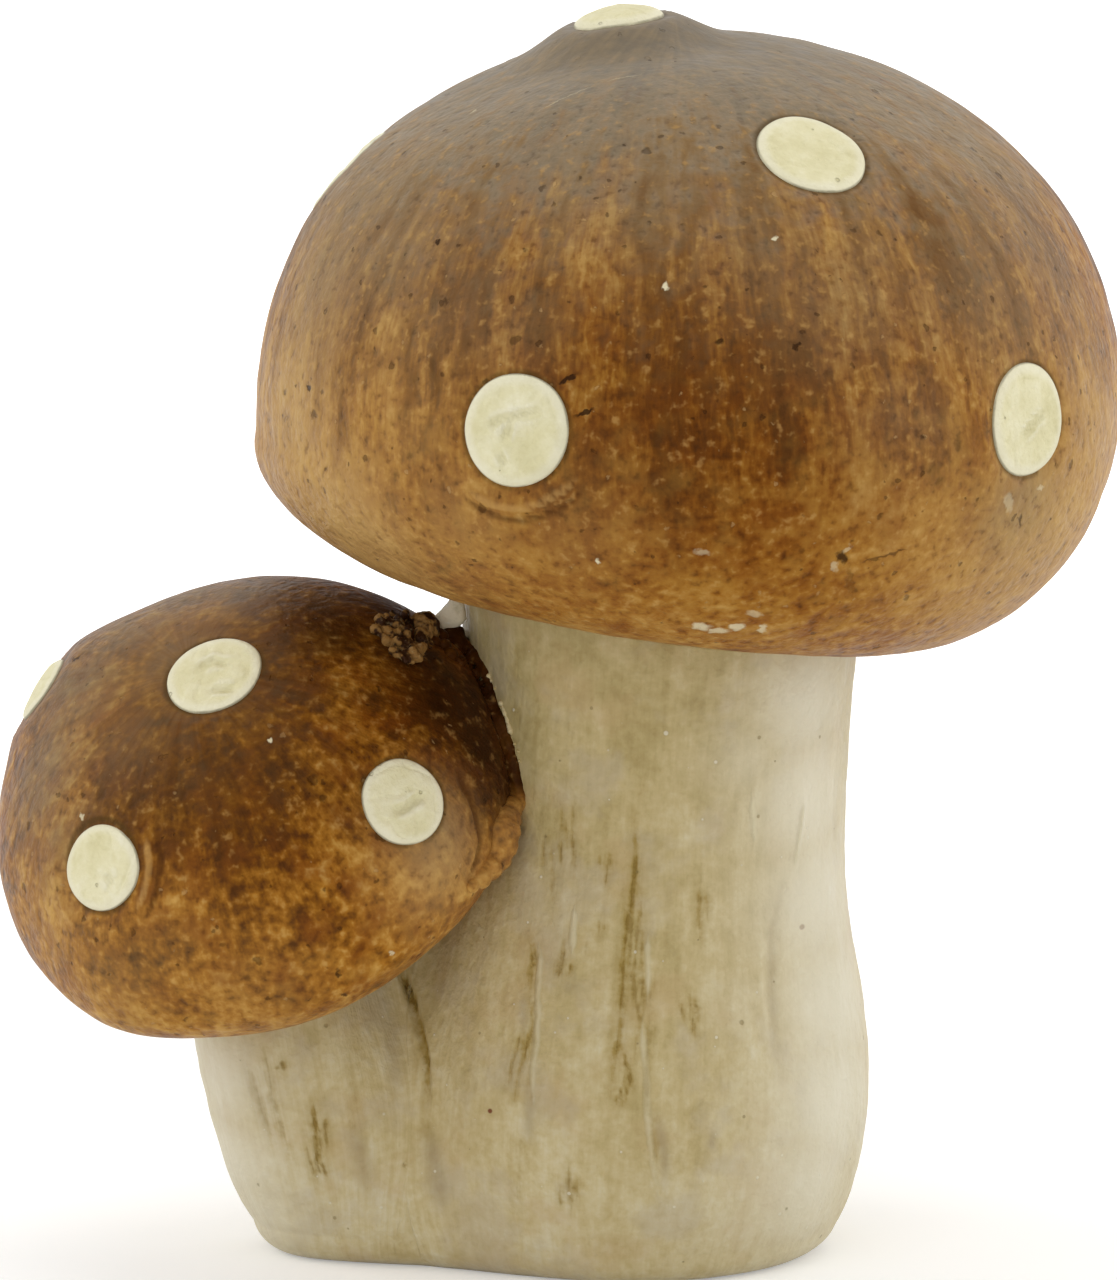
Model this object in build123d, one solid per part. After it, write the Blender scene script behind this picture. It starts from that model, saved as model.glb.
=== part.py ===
from build123d import *
from math import cos, radians, sin
import os

# A pair of hollow ceramic mushrooms: a tall one, and a small one stuck to its left side.
# Millimetres, Z up, standing on z = 0 with the tall foot at the origin. The front faces -Y.

# Walls, lute beds and fits
large_wall = 4.0
small_wall = 3.2
lute_bed = 0.8
fit_clearance = 0.25
end_clearance = 0.5
vent_diameter = 3.0
foot_vent_offset = 9.0

# Tall stalk, turned about an axis that leans to the right
large_lean = 3.5
large_stalk_length = 61.6
foot_radius = 18.0
belly_radius = 22.7
belly_height = 13.5
mid_radius = 20.3
mid_height = 31.0
waist_radius = 18.4
waist_height = 50.0
neck_radius = 19.2
large_spigot_radius = 9.0
large_spigot_height = 6.5

# Tall cap: a dome over a rolled rim, with a flat underside that tilts down to the right
dome_fullness = 0.585
large_cap_radius = 40.9
large_dome_height = 36.0
large_dome_lean = -2.2
large_rim_depth = 18.3
large_rim_fullness = 0.52
large_rim_tilt = 7.8
large_underside_radius = 23.5
large_cap_floor = 10.0
rim_steps = 6

# Nub on the tall dome, off centre to the left
nub_turn = 180.0
nub_climb = 0.915
nub_radius = 12.0
nub_height = 2.4
nub_waist = 0.6
nub_skirt = 1.4

# Small stalk, leaning to the left, with a root that spreads from the edge of the tall foot
small_foot_out = 7.6
small_foot_y = -1.6
small_foot_radius = 6.4
small_belly_radius = 10.5
small_belly_height = 10.0
small_neck_radius = 11.2
small_spigot_radius = 5.0
small_spigot_height = 4.6
root_y = -1.0
root_radius = 7.2
root_top_radius = 5.0
root_height = 31.0
root_lean = 8.0

# Small cap: the same form, tipped forwards and to the left. Out is from the tall neck's left side,
# and drop is below the tall stalk's joint.
small_cap_out = 18.5
small_cap_y = -5.5
small_cap_drop = 19.8
small_tip_left = 21.0
small_tip_front = 31.2
small_cap_radius = 25.4
small_dome_height = 20.6
small_rim_depth = 8.2
small_rim_fullness = 0.5
small_underside_radius = 14.5

# Lump of clay at the top of the seam, sunk into the small cap beside the tall neck
lump_out = 3.8
lump_y = -7.0
lump_sink = 0.9
lump_width = 7.4
lump_depth = 7.0
lump_height = 5.6

# Raised spots: buttons in round seats. Turn is the angle round a cap from its right-hand side,
# and climb the share of the way from its widest ring up to its crown.
large_spot_radius = 5.2
small_spot_radius = 4.3
crown_spot_radius = 4.3
spot_seat_depth = 1.0
spot_edge_height = 1.0
spot_dome_height = 0.8
spot_clearance = 0.1
large_upper_spots = ((-64.0, 0.52), (55.0, 0.46), (176.0, 0.43))
large_lower_spots = ((-113.5, 0.07), (-40.5, 0.03), (38.0, 0.08), (118.0, 0.05))
small_crown_spot = (-58.0, 0.945)
small_ring_spots = ((-138.0, 0.40), (-50.0, 0.33), (75.0, 0.16), (138.0, 0.41))


def leaning(origin, lean):
    """Plane at a point, whose upward axis leans to the right by an angle."""
    return Plane(origin=origin, x_dir=(cos(radians(lean)), 0, -sin(radians(lean))),
                 z_dir=(sin(radians(lean)), 0, cos(radians(lean))))


def turned(edges):
    """Solid of revolution about Z from edges drawn with radius along X and height along Y."""
    return revolve(Plane.XZ * make_face(edges), Axis.Z)


def rod(radius, low, high):
    """Round rod on the Z axis between two heights."""
    return Pos(0, 0, (low + high) / 2) * Cylinder(radius, high - low)


def dome_curve(radius, height):
    """Outline of a dome from its widest ring up to its crown."""
    return Bezier((radius, 0), (radius, height * dome_fullness), (radius * dome_fullness, height), (0, height))


def rim_curve(radius, depth, underside, fullness):
    """Outline of a rolled rim from its widest ring down to the edge of the underside."""
    return Bezier((radius, 0), (radius, -depth * fullness),
                  (underside + (radius - underside) * fullness, -depth), (underside, -depth))


def half_ball(radius, height):
    """Solid dome over z = 0."""
    return turned([dome_curve(radius, height), Polyline((0, height), (0, 0), (radius, 0))])


def dome_seat(frame, curve, turn, climb):
    """Plane that touches a dome from outside, at an angle round it and a share of the way up it."""
    slice_plane = Plane(frame.location * Rot(0, 0, turn) * Plane.XZ.location)
    place = curve @ climb
    run = curve % climb
    origin = slice_plane.from_local_coords((place.X, place.Y, 0))
    outside = slice_plane.from_local_coords((place.X + run.Y, place.Y - run.X, 0))
    return Plane(origin=origin, z_dir=outside - origin)


def spot_seat(seat, radius):
    """Blind round seat under a spot, open to the outside."""
    return seat * rod(radius + spot_clearance, -spot_seat_depth, spot_edge_height + spot_dome_height)


def spot_button(seat, radius):
    """Button that rests on its seat's floor, with a domed face that stands proud."""
    face = Pos(0, 0, spot_edge_height) * half_ball(radius, spot_dome_height)
    return seat * Pos(0, 0, -spot_seat_depth) * (rod(radius, 0, spot_edge_height) + face)


def half_space(frame):
    """Block that fills everything above a plane, far past the object."""
    reach = 4 * (large_cap_radius + large_stalk_length)
    return frame * Pos(0, 0, reach / 2) * Box(reach, reach, reach)


def save(shape, name):
    """Writes one piece to its own file."""
    os.makedirs("parts", exist_ok=True)
    shape.label = name
    export_step(shape, f"parts/{name}.step")


# Frames that the pieces share
large_axis = leaning((0, 0, 0), large_lean)
large_joint = leaning(large_axis.from_local_coords((0, 0, large_stalk_length)), large_rim_tilt)
large_underside = large_joint.offset(lute_bed)
large_cap_frame = leaning(large_underside.from_local_coords((0, 0, large_rim_depth)), large_dome_lean)
neck_side = large_joint.origin - Vector(neck_radius, 0, 0)
small_cap_up = Vector(-sin(radians(small_tip_left)) * cos(radians(small_tip_front)),
                      -sin(radians(small_tip_front)),
                      cos(radians(small_tip_left)) * cos(radians(small_tip_front)))
small_cap_frame = Plane(origin=(neck_side.X - small_cap_out, small_cap_y, neck_side.Z - small_cap_drop),
                        x_dir=Vector(0, 1, 0).cross(small_cap_up), z_dir=small_cap_up)
small_underside = small_cap_frame.offset(-small_rim_depth)
small_joint = small_underside.offset(-lute_bed)
small_foot = Vector(-foot_radius - small_foot_out, small_foot_y, 0)
small_axis = Plane(origin=small_foot, z_dir=small_joint.origin - small_foot)
small_stalk_length = (small_joint.origin - small_foot).length
under_ground = half_space(-Plane.XY)


def large_stalk_form(extra):
    """Tall stalk's outer form, swollen by extra all round, run on past its foot and its joint."""
    tuck = belly_radius - foot_radius
    overrun = neck_radius * sin(radians(abs(large_rim_tilt - large_lean))) + lute_bed
    top = large_stalk_length + overrun
    side = Spline((foot_radius - tuck + extra, -tuck), (foot_radius + extra, 0),
                  (belly_radius + extra, belly_height), (mid_radius + extra, mid_height),
                  (waist_radius + extra, waist_height), (neck_radius + extra, top))
    rest = Polyline((neck_radius + extra, top), (0, top), (0, -tuck), (foot_radius - tuck + extra, -tuck))
    return large_axis * turned([side, rest]) - half_space(large_joint)


def spigot(joint, radius, height, root):
    """Round tenon that stands on a stalk's joint face and is rooted in the stalk."""
    return joint * rod(radius, -root, height)


def lute_washer(joint, radius, spigot_radius):
    """Bed of lute between a stalk and the underside of its cap."""
    return joint * (rod(radius, 0, lute_bed) - rod(spigot_radius + fit_clearance, 0, lute_bed))


def socket(joint, radius, height):
    """Blind hole in a cap's underside for the spigot."""
    return joint * rod(radius + fit_clearance, lute_bed, height + end_clearance)


def vent(frame, low, high):
    """Narrow hole that lets steam out of a hollow."""
    return frame * rod(vent_diameter / 2, low, high)


# Tall stalk
ceiling = large_stalk_length - 2 * large_wall
hollow_side = Spline((foot_radius - large_wall, large_wall), (belly_radius - large_wall, belly_height),
                     (mid_radius - large_wall, mid_height), (waist_radius - large_wall, ceiling))
hollow_rest = Polyline((waist_radius - large_wall, ceiling), (0, ceiling), (0, large_wall),
                       (foot_radius - large_wall, large_wall))
large_stalk = large_stalk_form(0) - under_ground
large_stalk -= large_axis * turned([hollow_side, hollow_rest])
large_stalk += spigot(large_joint, large_spigot_radius, large_spigot_height, large_wall)
large_stalk -= vent(large_axis * Pos(foot_vent_offset, 0, 0), -large_wall, 2 * large_wall)
large_stalk -= vent(large_joint, -3 * large_wall, large_spigot_height)
save(large_stalk, "large_stalk")
save(lute_washer(large_joint, neck_radius, large_spigot_radius), "large_cap_lute")

# Tall cap
large_dome_curve = dome_curve(large_cap_radius, large_dome_height)
large_rim_curve = rim_curve(large_cap_radius, large_rim_depth, large_underside_radius, large_rim_fullness)
rim_sections = []
for step in range(rim_steps + 1):
    place = large_rim_curve @ (step / rim_steps)
    depth_share = -place.Y / large_rim_depth
    tilt = large_dome_lean + (large_rim_tilt - large_dome_lean) * depth_share
    centre = large_underside.from_local_coords((0, 0, large_rim_depth + place.Y))
    rim_sections.append(leaning(centre, tilt) * Circle(place.X))
nub_frame = dome_seat(large_cap_frame, large_dome_curve, nub_turn, nub_climb)
nub_inner = nub_radius * nub_waist
nub_side = Bezier((nub_radius, -nub_skirt), (nub_inner, -nub_skirt / 4),
                  (nub_inner, nub_height), (0, nub_height))
nub_rest = Polyline((0, nub_height), (0, -large_wall), (nub_radius, -large_wall), (nub_radius, -nub_skirt))
large_cap_skin = large_cap_frame * half_ball(large_cap_radius, large_dome_height) + loft(rim_sections)
large_cap_skin += nub_frame * turned([nub_side, nub_rest])
hollow_depth = large_rim_depth - large_cap_floor
large_hollow = half_ball(large_cap_radius - large_wall, large_dome_height - large_wall)
hollow_skirt = Cone(large_underside_radius, large_cap_radius - large_wall, hollow_depth)
large_hollow += Pos(0, 0, -hollow_depth / 2) * hollow_skirt
large_cap = large_cap_skin - large_cap_frame * large_hollow
large_cap -= socket(large_joint, large_spigot_radius, large_spigot_height)
large_cap -= vent(large_underside, 0, large_rim_depth)

# Spots of the tall cap
large_seats = {"large_spot_crown": (nub_frame.offset(nub_height), crown_spot_radius)}
for ring, spots in (("upper", large_upper_spots), ("lower", large_lower_spots)):
    for number, (turn, climb) in enumerate(spots, 1):
        seat = dome_seat(large_cap_frame, large_dome_curve, turn, climb)
        large_seats[f"large_spot_{ring}_{number}"] = (seat, large_spot_radius)
for name, (seat, radius) in large_seats.items():
    large_cap -= spot_seat(seat, radius)
    save(spot_button(seat, radius), name)
save(large_cap, "large_cap")

# Forms that the small mushroom is cut back to
stalk_with_lute = large_stalk_form(lute_bed)
stalk_with_wall = large_stalk_form(lute_bed + small_wall)

# Small stalk with its spreading root
overrun = small_stalk_length + small_neck_radius
small_tuck = small_belly_radius - small_foot_radius
small_side = Spline((small_foot_radius - small_tuck, -small_tuck), (small_foot_radius, 0),
                    (small_belly_radius, small_belly_height), (small_neck_radius, small_stalk_length),
                    (small_neck_radius, overrun))
small_rest = Polyline((small_neck_radius, overrun), (0, overrun), (0, -small_tuck),
                      (small_foot_radius - small_tuck, -small_tuck))
root_form = Pos(0, 0, root_height / 2) * Cone(root_radius, root_top_radius, root_height)
small_stalk_skin = small_axis * turned([small_side, small_rest])
small_stalk_skin += leaning((-foot_radius, root_y, 0), -root_lean) * root_form
small_stalk_skin = small_stalk_skin - under_ground - half_space(small_joint)
small_ceiling = small_stalk_length - small_neck_radius
small_hollow = small_axis * rod(small_belly_radius - small_wall, small_wall, small_ceiling)
small_stalk = small_stalk_skin - stalk_with_lute - (small_hollow - stalk_with_wall)
small_stalk += spigot(small_joint, small_spigot_radius, small_spigot_height, small_wall)
small_stalk -= vent(small_axis, -small_wall, small_ceiling)
small_stalk -= vent(small_joint, -small_neck_radius, small_spigot_height)
save(small_stalk, "small_stalk")
save(lute_washer(small_joint, small_neck_radius, small_spigot_radius), "small_cap_lute")

# Small cap
small_dome_curve = dome_curve(small_cap_radius, small_dome_height)
small_rim_curve = rim_curve(small_cap_radius, small_rim_depth, small_underside_radius, small_rim_fullness)
small_rim_rest = Polyline((small_underside_radius, -small_rim_depth), (0, -small_rim_depth), (0, 0),
                          (small_cap_radius, 0))
small_cap_form = half_ball(small_cap_radius, small_dome_height) + turned([small_rim_curve, small_rim_rest])
small_cap_skin = small_cap_frame * small_cap_form
small_cap_hollow = small_cap_frame * half_ball(small_cap_radius - small_wall, small_dome_height - small_wall)
small_cap = small_cap_skin - stalk_with_lute - (small_cap_hollow - stalk_with_wall)
small_cap -= socket(small_joint, small_spigot_radius, small_spigot_height)
small_cap -= vent(small_underside, 0, small_rim_depth + small_wall)

# Spots of the small cap
small_seats = {"small_spot_crown": small_crown_spot}
for number, spot in enumerate(small_ring_spots, 1):
    small_seats[f"small_spot_ring_{number}"] = spot
for name, (turn, climb) in small_seats.items():
    seat = dome_seat(small_cap_frame, small_dome_curve, turn, climb)
    small_cap -= spot_seat(seat, small_spot_radius)
    save(spot_button(seat, small_spot_radius), name)
save(small_cap, "small_cap")

# Lute in the two saddles against the tall stalk
saddle_shell = stalk_with_lute - large_stalk_form(0)
save(small_stalk_skin & saddle_shell, "stalk_seam_lute")
save(small_cap_skin & saddle_shell, "cap_seam_lute")

# Lump pressed into the top of the seam
plumb_line = Axis((neck_side.X - lump_out, lump_y, 0), (0, 0, 1))
lump_floor = max(point.Z for point, normal in small_cap_skin.find_intersection_points(plumb_line))
lump_place = Pos(neck_side.X - lump_out, lump_y, lump_floor - lump_sink)
lump_form = lump_place * scale(Sphere(0.5), (lump_width, lump_depth, lump_height))
save(lump_form - small_cap_skin - stalk_with_lute - large_cap_skin, "joint_lump")
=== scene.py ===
import math
import random
import bpy
import numpy as np
from mathutils import Matrix, Vector, noise
from mathutils.bvhtree import BVHTree


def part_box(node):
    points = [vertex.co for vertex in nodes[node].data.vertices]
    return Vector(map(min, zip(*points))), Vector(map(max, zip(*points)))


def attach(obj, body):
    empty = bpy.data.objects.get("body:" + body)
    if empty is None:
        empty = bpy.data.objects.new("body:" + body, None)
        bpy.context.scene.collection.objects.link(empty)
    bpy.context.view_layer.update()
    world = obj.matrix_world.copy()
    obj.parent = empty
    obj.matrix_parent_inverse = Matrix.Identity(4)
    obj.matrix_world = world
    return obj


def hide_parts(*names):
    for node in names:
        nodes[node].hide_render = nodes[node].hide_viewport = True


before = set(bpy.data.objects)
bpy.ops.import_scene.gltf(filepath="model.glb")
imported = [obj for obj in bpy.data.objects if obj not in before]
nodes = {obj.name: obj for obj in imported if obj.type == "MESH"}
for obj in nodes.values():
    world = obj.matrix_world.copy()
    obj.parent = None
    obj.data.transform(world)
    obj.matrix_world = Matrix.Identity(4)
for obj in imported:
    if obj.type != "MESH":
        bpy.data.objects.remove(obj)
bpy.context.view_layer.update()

scene = bpy.context.scene
scene.view_settings.view_transform = "Standard"
mm = 0.001
print("frame loaded:", len(nodes), "solids")


# camera at the photo's angle; the picture is 1117 x 1280
shot = {
    "width": 1117,
    "height": 1280,
    "elevation": 9.5,
    "distance": 1.0,
    "target": (-0.00601, 0, 0.0585),
    "focal": 10560,  # in picture pixels
}


def addCamera():
    tilt = math.radians(shot["elevation"])
    back = Vector((0, -math.cos(tilt), math.sin(tilt))) * shot["distance"]
    bpy.ops.object.camera_add(location=Vector(shot["target"]) + back, rotation=(math.pi / 2 - tilt, 0, 0))
    made = bpy.context.object
    made.name = "photoCamera"
    made.data.sensor_fit = "VERTICAL"
    made.data.sensor_height = 36
    made.data.lens = 36 * shot["focal"] / shot["height"]
    made.data.clip_start = 0.05
    made.data.clip_end = 20
    scene.camera = made
    bpy.context.view_layer.update()
    return made


camera = addCamera()


def rayThrough(pixel):  # the camera's line of sight at a pixel of the photo
    across = (pixel[0] - shot["width"] / 2) / shot["focal"]
    down = (pixel[1] - shot["height"] / 2) / shot["focal"]
    return camera.matrix_world.to_3x3() @ Vector((across, -down, -1))


def onPhoto(tree, pixel):  # the point of a piece that shows at a pixel of the photo, and its normal
    place, normal = tree.ray_cast(camera.matrix_world.translation, rayThrough(pixel).normalized())[:2]
    if place is None:
        return None, None
    return np.array(place) / mm, np.array(normal)


def pathOn(tree, pixels):  # the points of a piece that show at a line of pixels
    places = [onPhoto(tree, pixel)[0] for pixel in pixels]
    return [place for place in places if place is not None]


def atDepth(pixel, depth):  # the place behind a pixel at a given depth
    start, ray = camera.matrix_world.translation, rayThrough(pixel)
    return np.array(start + ray * ((depth * mm - start.y) / ray.y)) / mm


# small helpers for modelling
def pickOnly(obj):
    bpy.ops.object.select_all(action="DESELECT")
    obj.select_set(True)
    bpy.context.view_layer.objects.active = obj


def applyModifier(obj, kind, **settings):
    pickOnly(obj)
    modifier = obj.modifiers.new(kind.title(), kind)
    for key, value in settings.items():
        setattr(modifier, key, value)
    bpy.ops.object.modifier_apply(modifier=modifier.name)


def pickVertices(obj, mask):
    mesh = obj.data
    mesh.polygons.foreach_set("select", np.zeros(len(mesh.polygons), bool))
    mesh.edges.foreach_set("select", np.zeros(len(mesh.edges), bool))
    mesh.vertices.foreach_set("select", np.asarray(mask, bool))


def relaxVertices(obj, mask, repeat):
    pickOnly(obj)
    bpy.ops.object.mode_set(mode="EDIT")
    bpy.ops.mesh.select_mode(type="VERT")
    bpy.ops.object.mode_set(mode="OBJECT")
    pickVertices(obj, mask)
    bpy.ops.object.mode_set(mode="EDIT")
    bpy.ops.mesh.vertices_smooth(factor=0.5, repeat=repeat)
    bpy.ops.object.mode_set(mode="OBJECT")


def readPoints(obj):  # in mm
    flat = np.empty(len(obj.data.vertices) * 3, np.float32)
    obj.data.vertices.foreach_get("co", flat)
    return flat.reshape(-1, 3).astype(float) / mm


def writePoints(obj, points):
    obj.data.vertices.foreach_set("co", (points * mm).astype(np.float32).ravel())
    obj.data.update()


def readNormals(obj):
    flat = np.empty(len(obj.data.vertices) * 3, np.float32)
    obj.data.vertex_normals.foreach_get("vector", flat)
    return flat.reshape(-1, 3).astype(float)


def storeValue(obj, name, values):
    attribute = obj.data.attributes.new(name, "FLOAT", "POINT")
    attribute.data.foreach_set("value", np.asarray(values, np.float32))


def storeVector(obj, name, vectors):
    attribute = obj.data.attributes.new(name, "FLOAT_VECTOR", "POINT")
    attribute.data.foreach_set("vector", np.asarray(vectors, np.float32).ravel())


def treeOf(obj):
    mesh = obj.data
    return BVHTree.FromPolygons([v.co.copy() for v in mesh.vertices],
                                [tuple(p.vertices) for p in mesh.polygons])


def waves(points, size, seed, octaves=1):  # soft noise, about -1 to 1, with lumps of a size in mm
    total = np.zeros(len(points))
    for octave in range(octaves):
        spot = points * (2 ** octave / size) + np.array((seed * 13.7, seed * 7.3, seed * 3.1))
        total += np.array([noise.noise(p) for p in spot]) / 2 ** octave
    return total


def uneven(points, amount, size, seed, octaves=1):
    return amount * waves(points, size, seed, octaves)


def growSkin(obj, points, amount):  # moves a skin out along its normals, mm
    writePoints(obj, points + readNormals(obj) * amount[:, None])


def bell(gap, half):
    return np.exp(-(gap / half) ** 2)


def tapered(along, rate, least=0.0):  # rises to 1 from both ends of a line
    return np.clip(np.minimum(along, 1 - along) * rate + least, 0, 1)


def dab(points, middle, reach):  # soft round brush
    return np.exp(-((points - np.array(middle)) ** 2).sum(1) / reach ** 2)


def pathDistance(points, path):  # distance from each point to a bent line, and how far along it
    best = np.full(len(points), 1e9)
    along = np.zeros(len(points))
    for number in range(len(path) - 1):
        start, end = np.array(path[number]), np.array(path[number + 1])
        run = end - start
        share = np.clip(((points - start) @ run) / (run @ run), 0, 1)
        gap = np.linalg.norm(points - start - share[:, None] * run, axis=1)
        closer = gap < best
        best[closer] = gap[closer]
        along[closer] = (number + share[closer]) / (len(path) - 1)
    return best, along


def settle(obj, paint, slot, *replaced):
    pickOnly(obj)
    bpy.ops.object.shade_smooth()
    obj.data.materials.clear()
    obj.data.materials.append(paint)
    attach(obj, "root")
    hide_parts(*replaced)
    print("  ", obj.name, len(obj.data.polygons), "faces")


# small helpers for the paints
def colour(code):
    parts = [int(code[i:i + 2], 16) / 255 for i in (0, 2, 4)]
    return tuple(c / 12.92 if c <= 0.04045 else ((c + 0.055) / 1.055) ** 2.4 for c in parts) + (1.0,)


def feed(tree, node, inputs):  # links sockets to a node, and sets plain values
    for key, value in inputs.items():
        if isinstance(value, bpy.types.NodeSocket):
            tree.links.new(value, node.inputs[key])
        else:
            node.inputs[key].default_value = value


def put(tree, kind, inputs=None, **settings):
    node = tree.nodes.new("ShaderNode" + kind)
    for key, value in settings.items():
        setattr(node, key, value)
    feed(tree, node, inputs or {})
    return node


def startPaint(name):
    paint = bpy.data.materials.new(name)
    paint.use_nodes = True
    return paint, paint.node_tree, paint.node_tree.nodes["Principled BSDF"]


def finishPaint(tree, shader, base, rough, shine, relief, bump, depth=0.0005):
    normal = put(tree, "Bump", {"Height": relief, "Strength": bump, "Distance": depth}).outputs[0]
    feed(tree, shader, {"Base Color": base, "Roughness": rough, "Specular IOR Level": shine,
                        "Normal": normal})


def calc(tree, operation, first, second, clamp=False):
    return put(tree, "Math", {0: first, 1: second}, operation=operation, use_clamp=clamp).outputs[0]


def addShare(tree, total, value, weight):
    return put(tree, "Math", {0: value, 1: weight, 2: total}, operation="MULTIPLY_ADD").outputs[0]


def product(tree, *values):
    total = values[0]
    for value in values[1:]:
        total = calc(tree, "MULTIPLY", total, value)
    return total


def eased(tree, value, low, high, start, end):
    return put(tree, "MapRange", {0: value, 1: low, 2: high, 3: start, 4: end},
               interpolation_type="SMOOTHSTEP").outputs[0]


def between(tree, value, low, high):  # soft step from 0 to 1, or from 1 to 0 where low is the larger
    if low < high:
        return eased(tree, value, low, high, 0.0, 1.0)
    return eased(tree, value, high, low, 1.0, 0.0)


def moved(tree, vector, seed):
    return put(tree, "VectorMath", {0: vector, 1: (seed * 0.37, seed * 0.19, seed * 0.53)},
               operation="ADD").outputs[0]


def pushed(tree, vector, by, amount):
    return put(tree, "VectorMath", {0: by, 1: amount, 2: vector}, operation="MULTIPLY_ADD").outputs[0]


def stretched(tree, vector, across, along):
    return put(tree, "VectorMath", {0: vector, 1: (across, across, along)}, operation="MULTIPLY").outputs[0]


def lengthOf(tree, vector):
    return put(tree, "VectorMath", {0: vector}, operation="LENGTH").outputs["Value"]


def fuzz(tree, vector, scale, seed, detail, rough=0.55):
    return put(tree, "TexNoise", {"Vector": moved(tree, vector, seed), "Scale": scale, "Detail": detail,
                                  "Roughness": rough}).outputs[0]


def blend(tree, start, *layers):  # adds noises to a value, each round its own middle
    total = start
    for value, weight in layers:
        total = addShare(tree, total, calc(tree, "SUBTRACT", value, 0.5), weight)
    return total


def over(tree, amount, under, top):
    return put(tree, "Mix", {0: amount, 6: under, 7: top}, data_type="RGBA").outputs[2]


def lay(tree, base, code, *amounts):  # a coat of one colour, as thick as the amounts multiplied
    return over(tree, product(tree, *amounts), base, colour(code))


def rampOf(tree, value, stops):
    node = put(tree, "ValToRGB", {0: value})
    ramp = node.color_ramp
    while len(ramp.elements) < len(stops):
        ramp.elements.new(0.5)
    for element, (place, code) in zip(ramp.elements, stops):
        element.position = place
        element.color = colour(code)
    return node.outputs[0]


def dots(tree, vector, scale, seed, size, share):  # scattered round flecks
    cells = put(tree, "TexVoronoi", {"Vector": moved(tree, vector, seed), "Scale": scale})
    chance, width = put(tree, "SeparateColor", {0: cells.outputs["Color"]}).outputs[:2]
    kept = between(tree, chance, 1 - share, 1.001 - share)
    inside = calc(tree, "SUBTRACT", calc(tree, "MULTIPLY", width, size), cells.outputs["Distance"])
    return product(tree, kept, between(tree, inside, 0.0, size * 0.4))


def twoDots(tree, vector, large, small):
    return calc(tree, "MAXIMUM", dots(tree, vector, *large), dots(tree, vector, *small))


def attributeOf(tree, name, output="Fac"):
    return put(tree, "Attribute", attribute_name=name).outputs[output]


def edgeGloss(tree, front, side):  # the glaze shines where it is seen at a flat angle
    facing = put(tree, "LayerWeight", {"Blend": 0.5}).outputs["Facing"]
    return eased(tree, facing, 0.3, 0.95, front, side)


def placeMarks(tree, marks):  # turns photo marks into places on a piece
    right = np.array(camera.matrix_world.to_3x3() @ Vector((1, 0, 0)))
    ready = []
    for pixel, halfLength, halfWidth, slant, strength in marks:
        place, normal = onPhoto(tree, pixel)
        if place is None:
            continue
        along = right - normal * (right @ normal)
        along = Matrix.Rotation(math.radians(slant), 3, Vector(normal)) @ Vector(along).normalized()
        up = Vector(normal)
        turn = Matrix((along, up.cross(along), up)).transposed().to_euler()
        half = (halfLength * mm, halfWidth * mm, 1.2 * mm)
        ready.append(({"Location": Vector(place) * mm, "Rotation": turn, "Scale": half}, strength))
    return ready


def markSum(tree, objectCoords, marks):  # oval marks, each at its place of the surface
    total = 0.0
    for place, strength in marks:
        local = put(tree, "Mapping", {"Vector": objectCoords, **place}, vector_type="TEXTURE").outputs[0]
        shape = calc(tree, "MULTIPLY", between(tree, lengthOf(tree, local), 1.0, 0.45), strength)
        total = calc(tree, "MAXIMUM", shape, total)
    return total


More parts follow.
